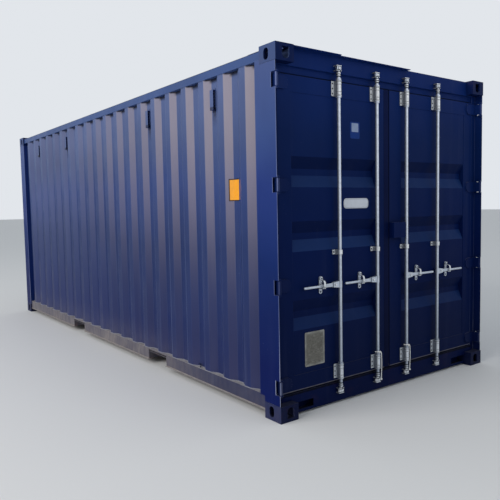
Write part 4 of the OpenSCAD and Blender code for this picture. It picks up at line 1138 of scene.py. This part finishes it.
# The pieces, in an order that the random draws keep to.
for i, y in enumerate(RODS, 1):
    hand, body = (-1, "door_left") if y < 0 else (1, "door_right")
    handle(i, y, hand)
    rod_fittings(i, y)
    retainer(i, body)
    catch(i)
for hand, body, rods in LEAVES:
    brackets(body, rods)
keeper_welds()
hinge_pins()
for hand, body, rods in LEAVES:
    hinge_welds(hand, body)
sticker("label_blank", WHITE_LABEL, WHITE_R, 0.0001, 0.0008, "label_white")
label_border()
sticker("label_small", BLUE_LABEL, BLUE_R, 0.0001, 0.0007, "label_blue")
sticker("label_small_field", PALE_FIELD, PALE_R, 0.0005, 0.0010, "label_pale", 0.0001)
data_plate()
height_plate("height_plate_rim", "seam_dark", -0.008, 0.0002, 0.0010)
height_plate("height_plate", "plate_orange", 0.0, 0.0006, 0.0016)
for hand, body, rods in LEAVES:
    mid_seal(hand, body)
vents()
wall_weld("wall_foot_welds", "weld_dust", RAIL_TOP + 0.0030, 0.0034)
wall_weld("wall_top_welds", "paint_side", WALL_Z[1] - 0.0015, 0.0022)
floor_screws()
tread_plate()
lashing_rings()
roof_doublers()


# Floor, world and lamps.
def ground():
    bpy.ops.mesh.primitive_plane_add(size=240, location=(0, 0, -0.0005))
    floor = bpy.context.object
    floor.name = "studio_floor"
    m = bpy.data.materials.new("studio_floor")
    m.use_nodes = True
    shader = m.node_tree.nodes["Principled BSDF"]
    shader.inputs["Base Color"].default_value = (0.78, 0.775, 0.77, 1)
    shader.inputs["Roughness"].default_value = 0.85
    floor.data.materials.append(m)


def sky():
    """A pale backdrop for the camera and for mirrors, and a dimmer, bluer light for the rest."""
    world = bpy.data.worlds.new("studio")
    world.use_nodes = True
    bpy.context.scene.world = world
    nt = world.node_tree
    nt.nodes.clear()

    def glow(colour, strength):
        n = nt.nodes.new("ShaderNodeBackground")
        n.inputs[0].default_value = colour
        n.inputs[1].default_value = strength
        return n.outputs[0]

    def larger(a, b):
        n = nt.nodes.new("ShaderNodeMath")
        n.operation = "MAXIMUM"
        nt.links.new(a, n.inputs[0])
        nt.links.new(b, n.inputs[1])
        return n.outputs[0]

    path = nt.nodes.new("ShaderNodeLightPath").outputs
    mirrored = larger(path["Is Glossy Ray"], path["Is Transmission Ray"])
    mix = nt.nodes.new("ShaderNodeMixShader")
    nt.links.new(larger(path["Is Camera Ray"], mirrored), mix.inputs[0])
    nt.links.new(glow((0.86, 0.93, 1.0, 1), 0.55), mix.inputs[1])
    nt.links.new(glow((0.76, 0.79, 0.83, 1), 1.0), mix.inputs[2])
    out = nt.nodes.new("ShaderNodeOutputWorld")
    nt.links.new(mix.outputs[0], out.inputs[0])


def lamp(name, at, to, size, power, colour):
    data = bpy.data.lights.new(name, "AREA")
    data.shape = "RECTANGLE"
    data.size, data.size_y = size
    data.energy = power
    data.color = colour
    o = place(name, data)
    o.location = at
    o.rotation_euler = (Vector(to) - Vector(at)).to_track_quat("-Z", "Y").to_euler()


ground()
sky()
lamp("key", (1.5, -13.0, 7.5), (0, 0, 1.1), (12, 6), 1100, (1.0, 0.97, 0.94))
lamp("end_fill", (12.0, 3.0, 5.0), (3, 0, 1.2), (5, 4), 60, (0.9, 0.95, 1.0))
bpy.context.scene.view_settings.view_transform = "Standard"
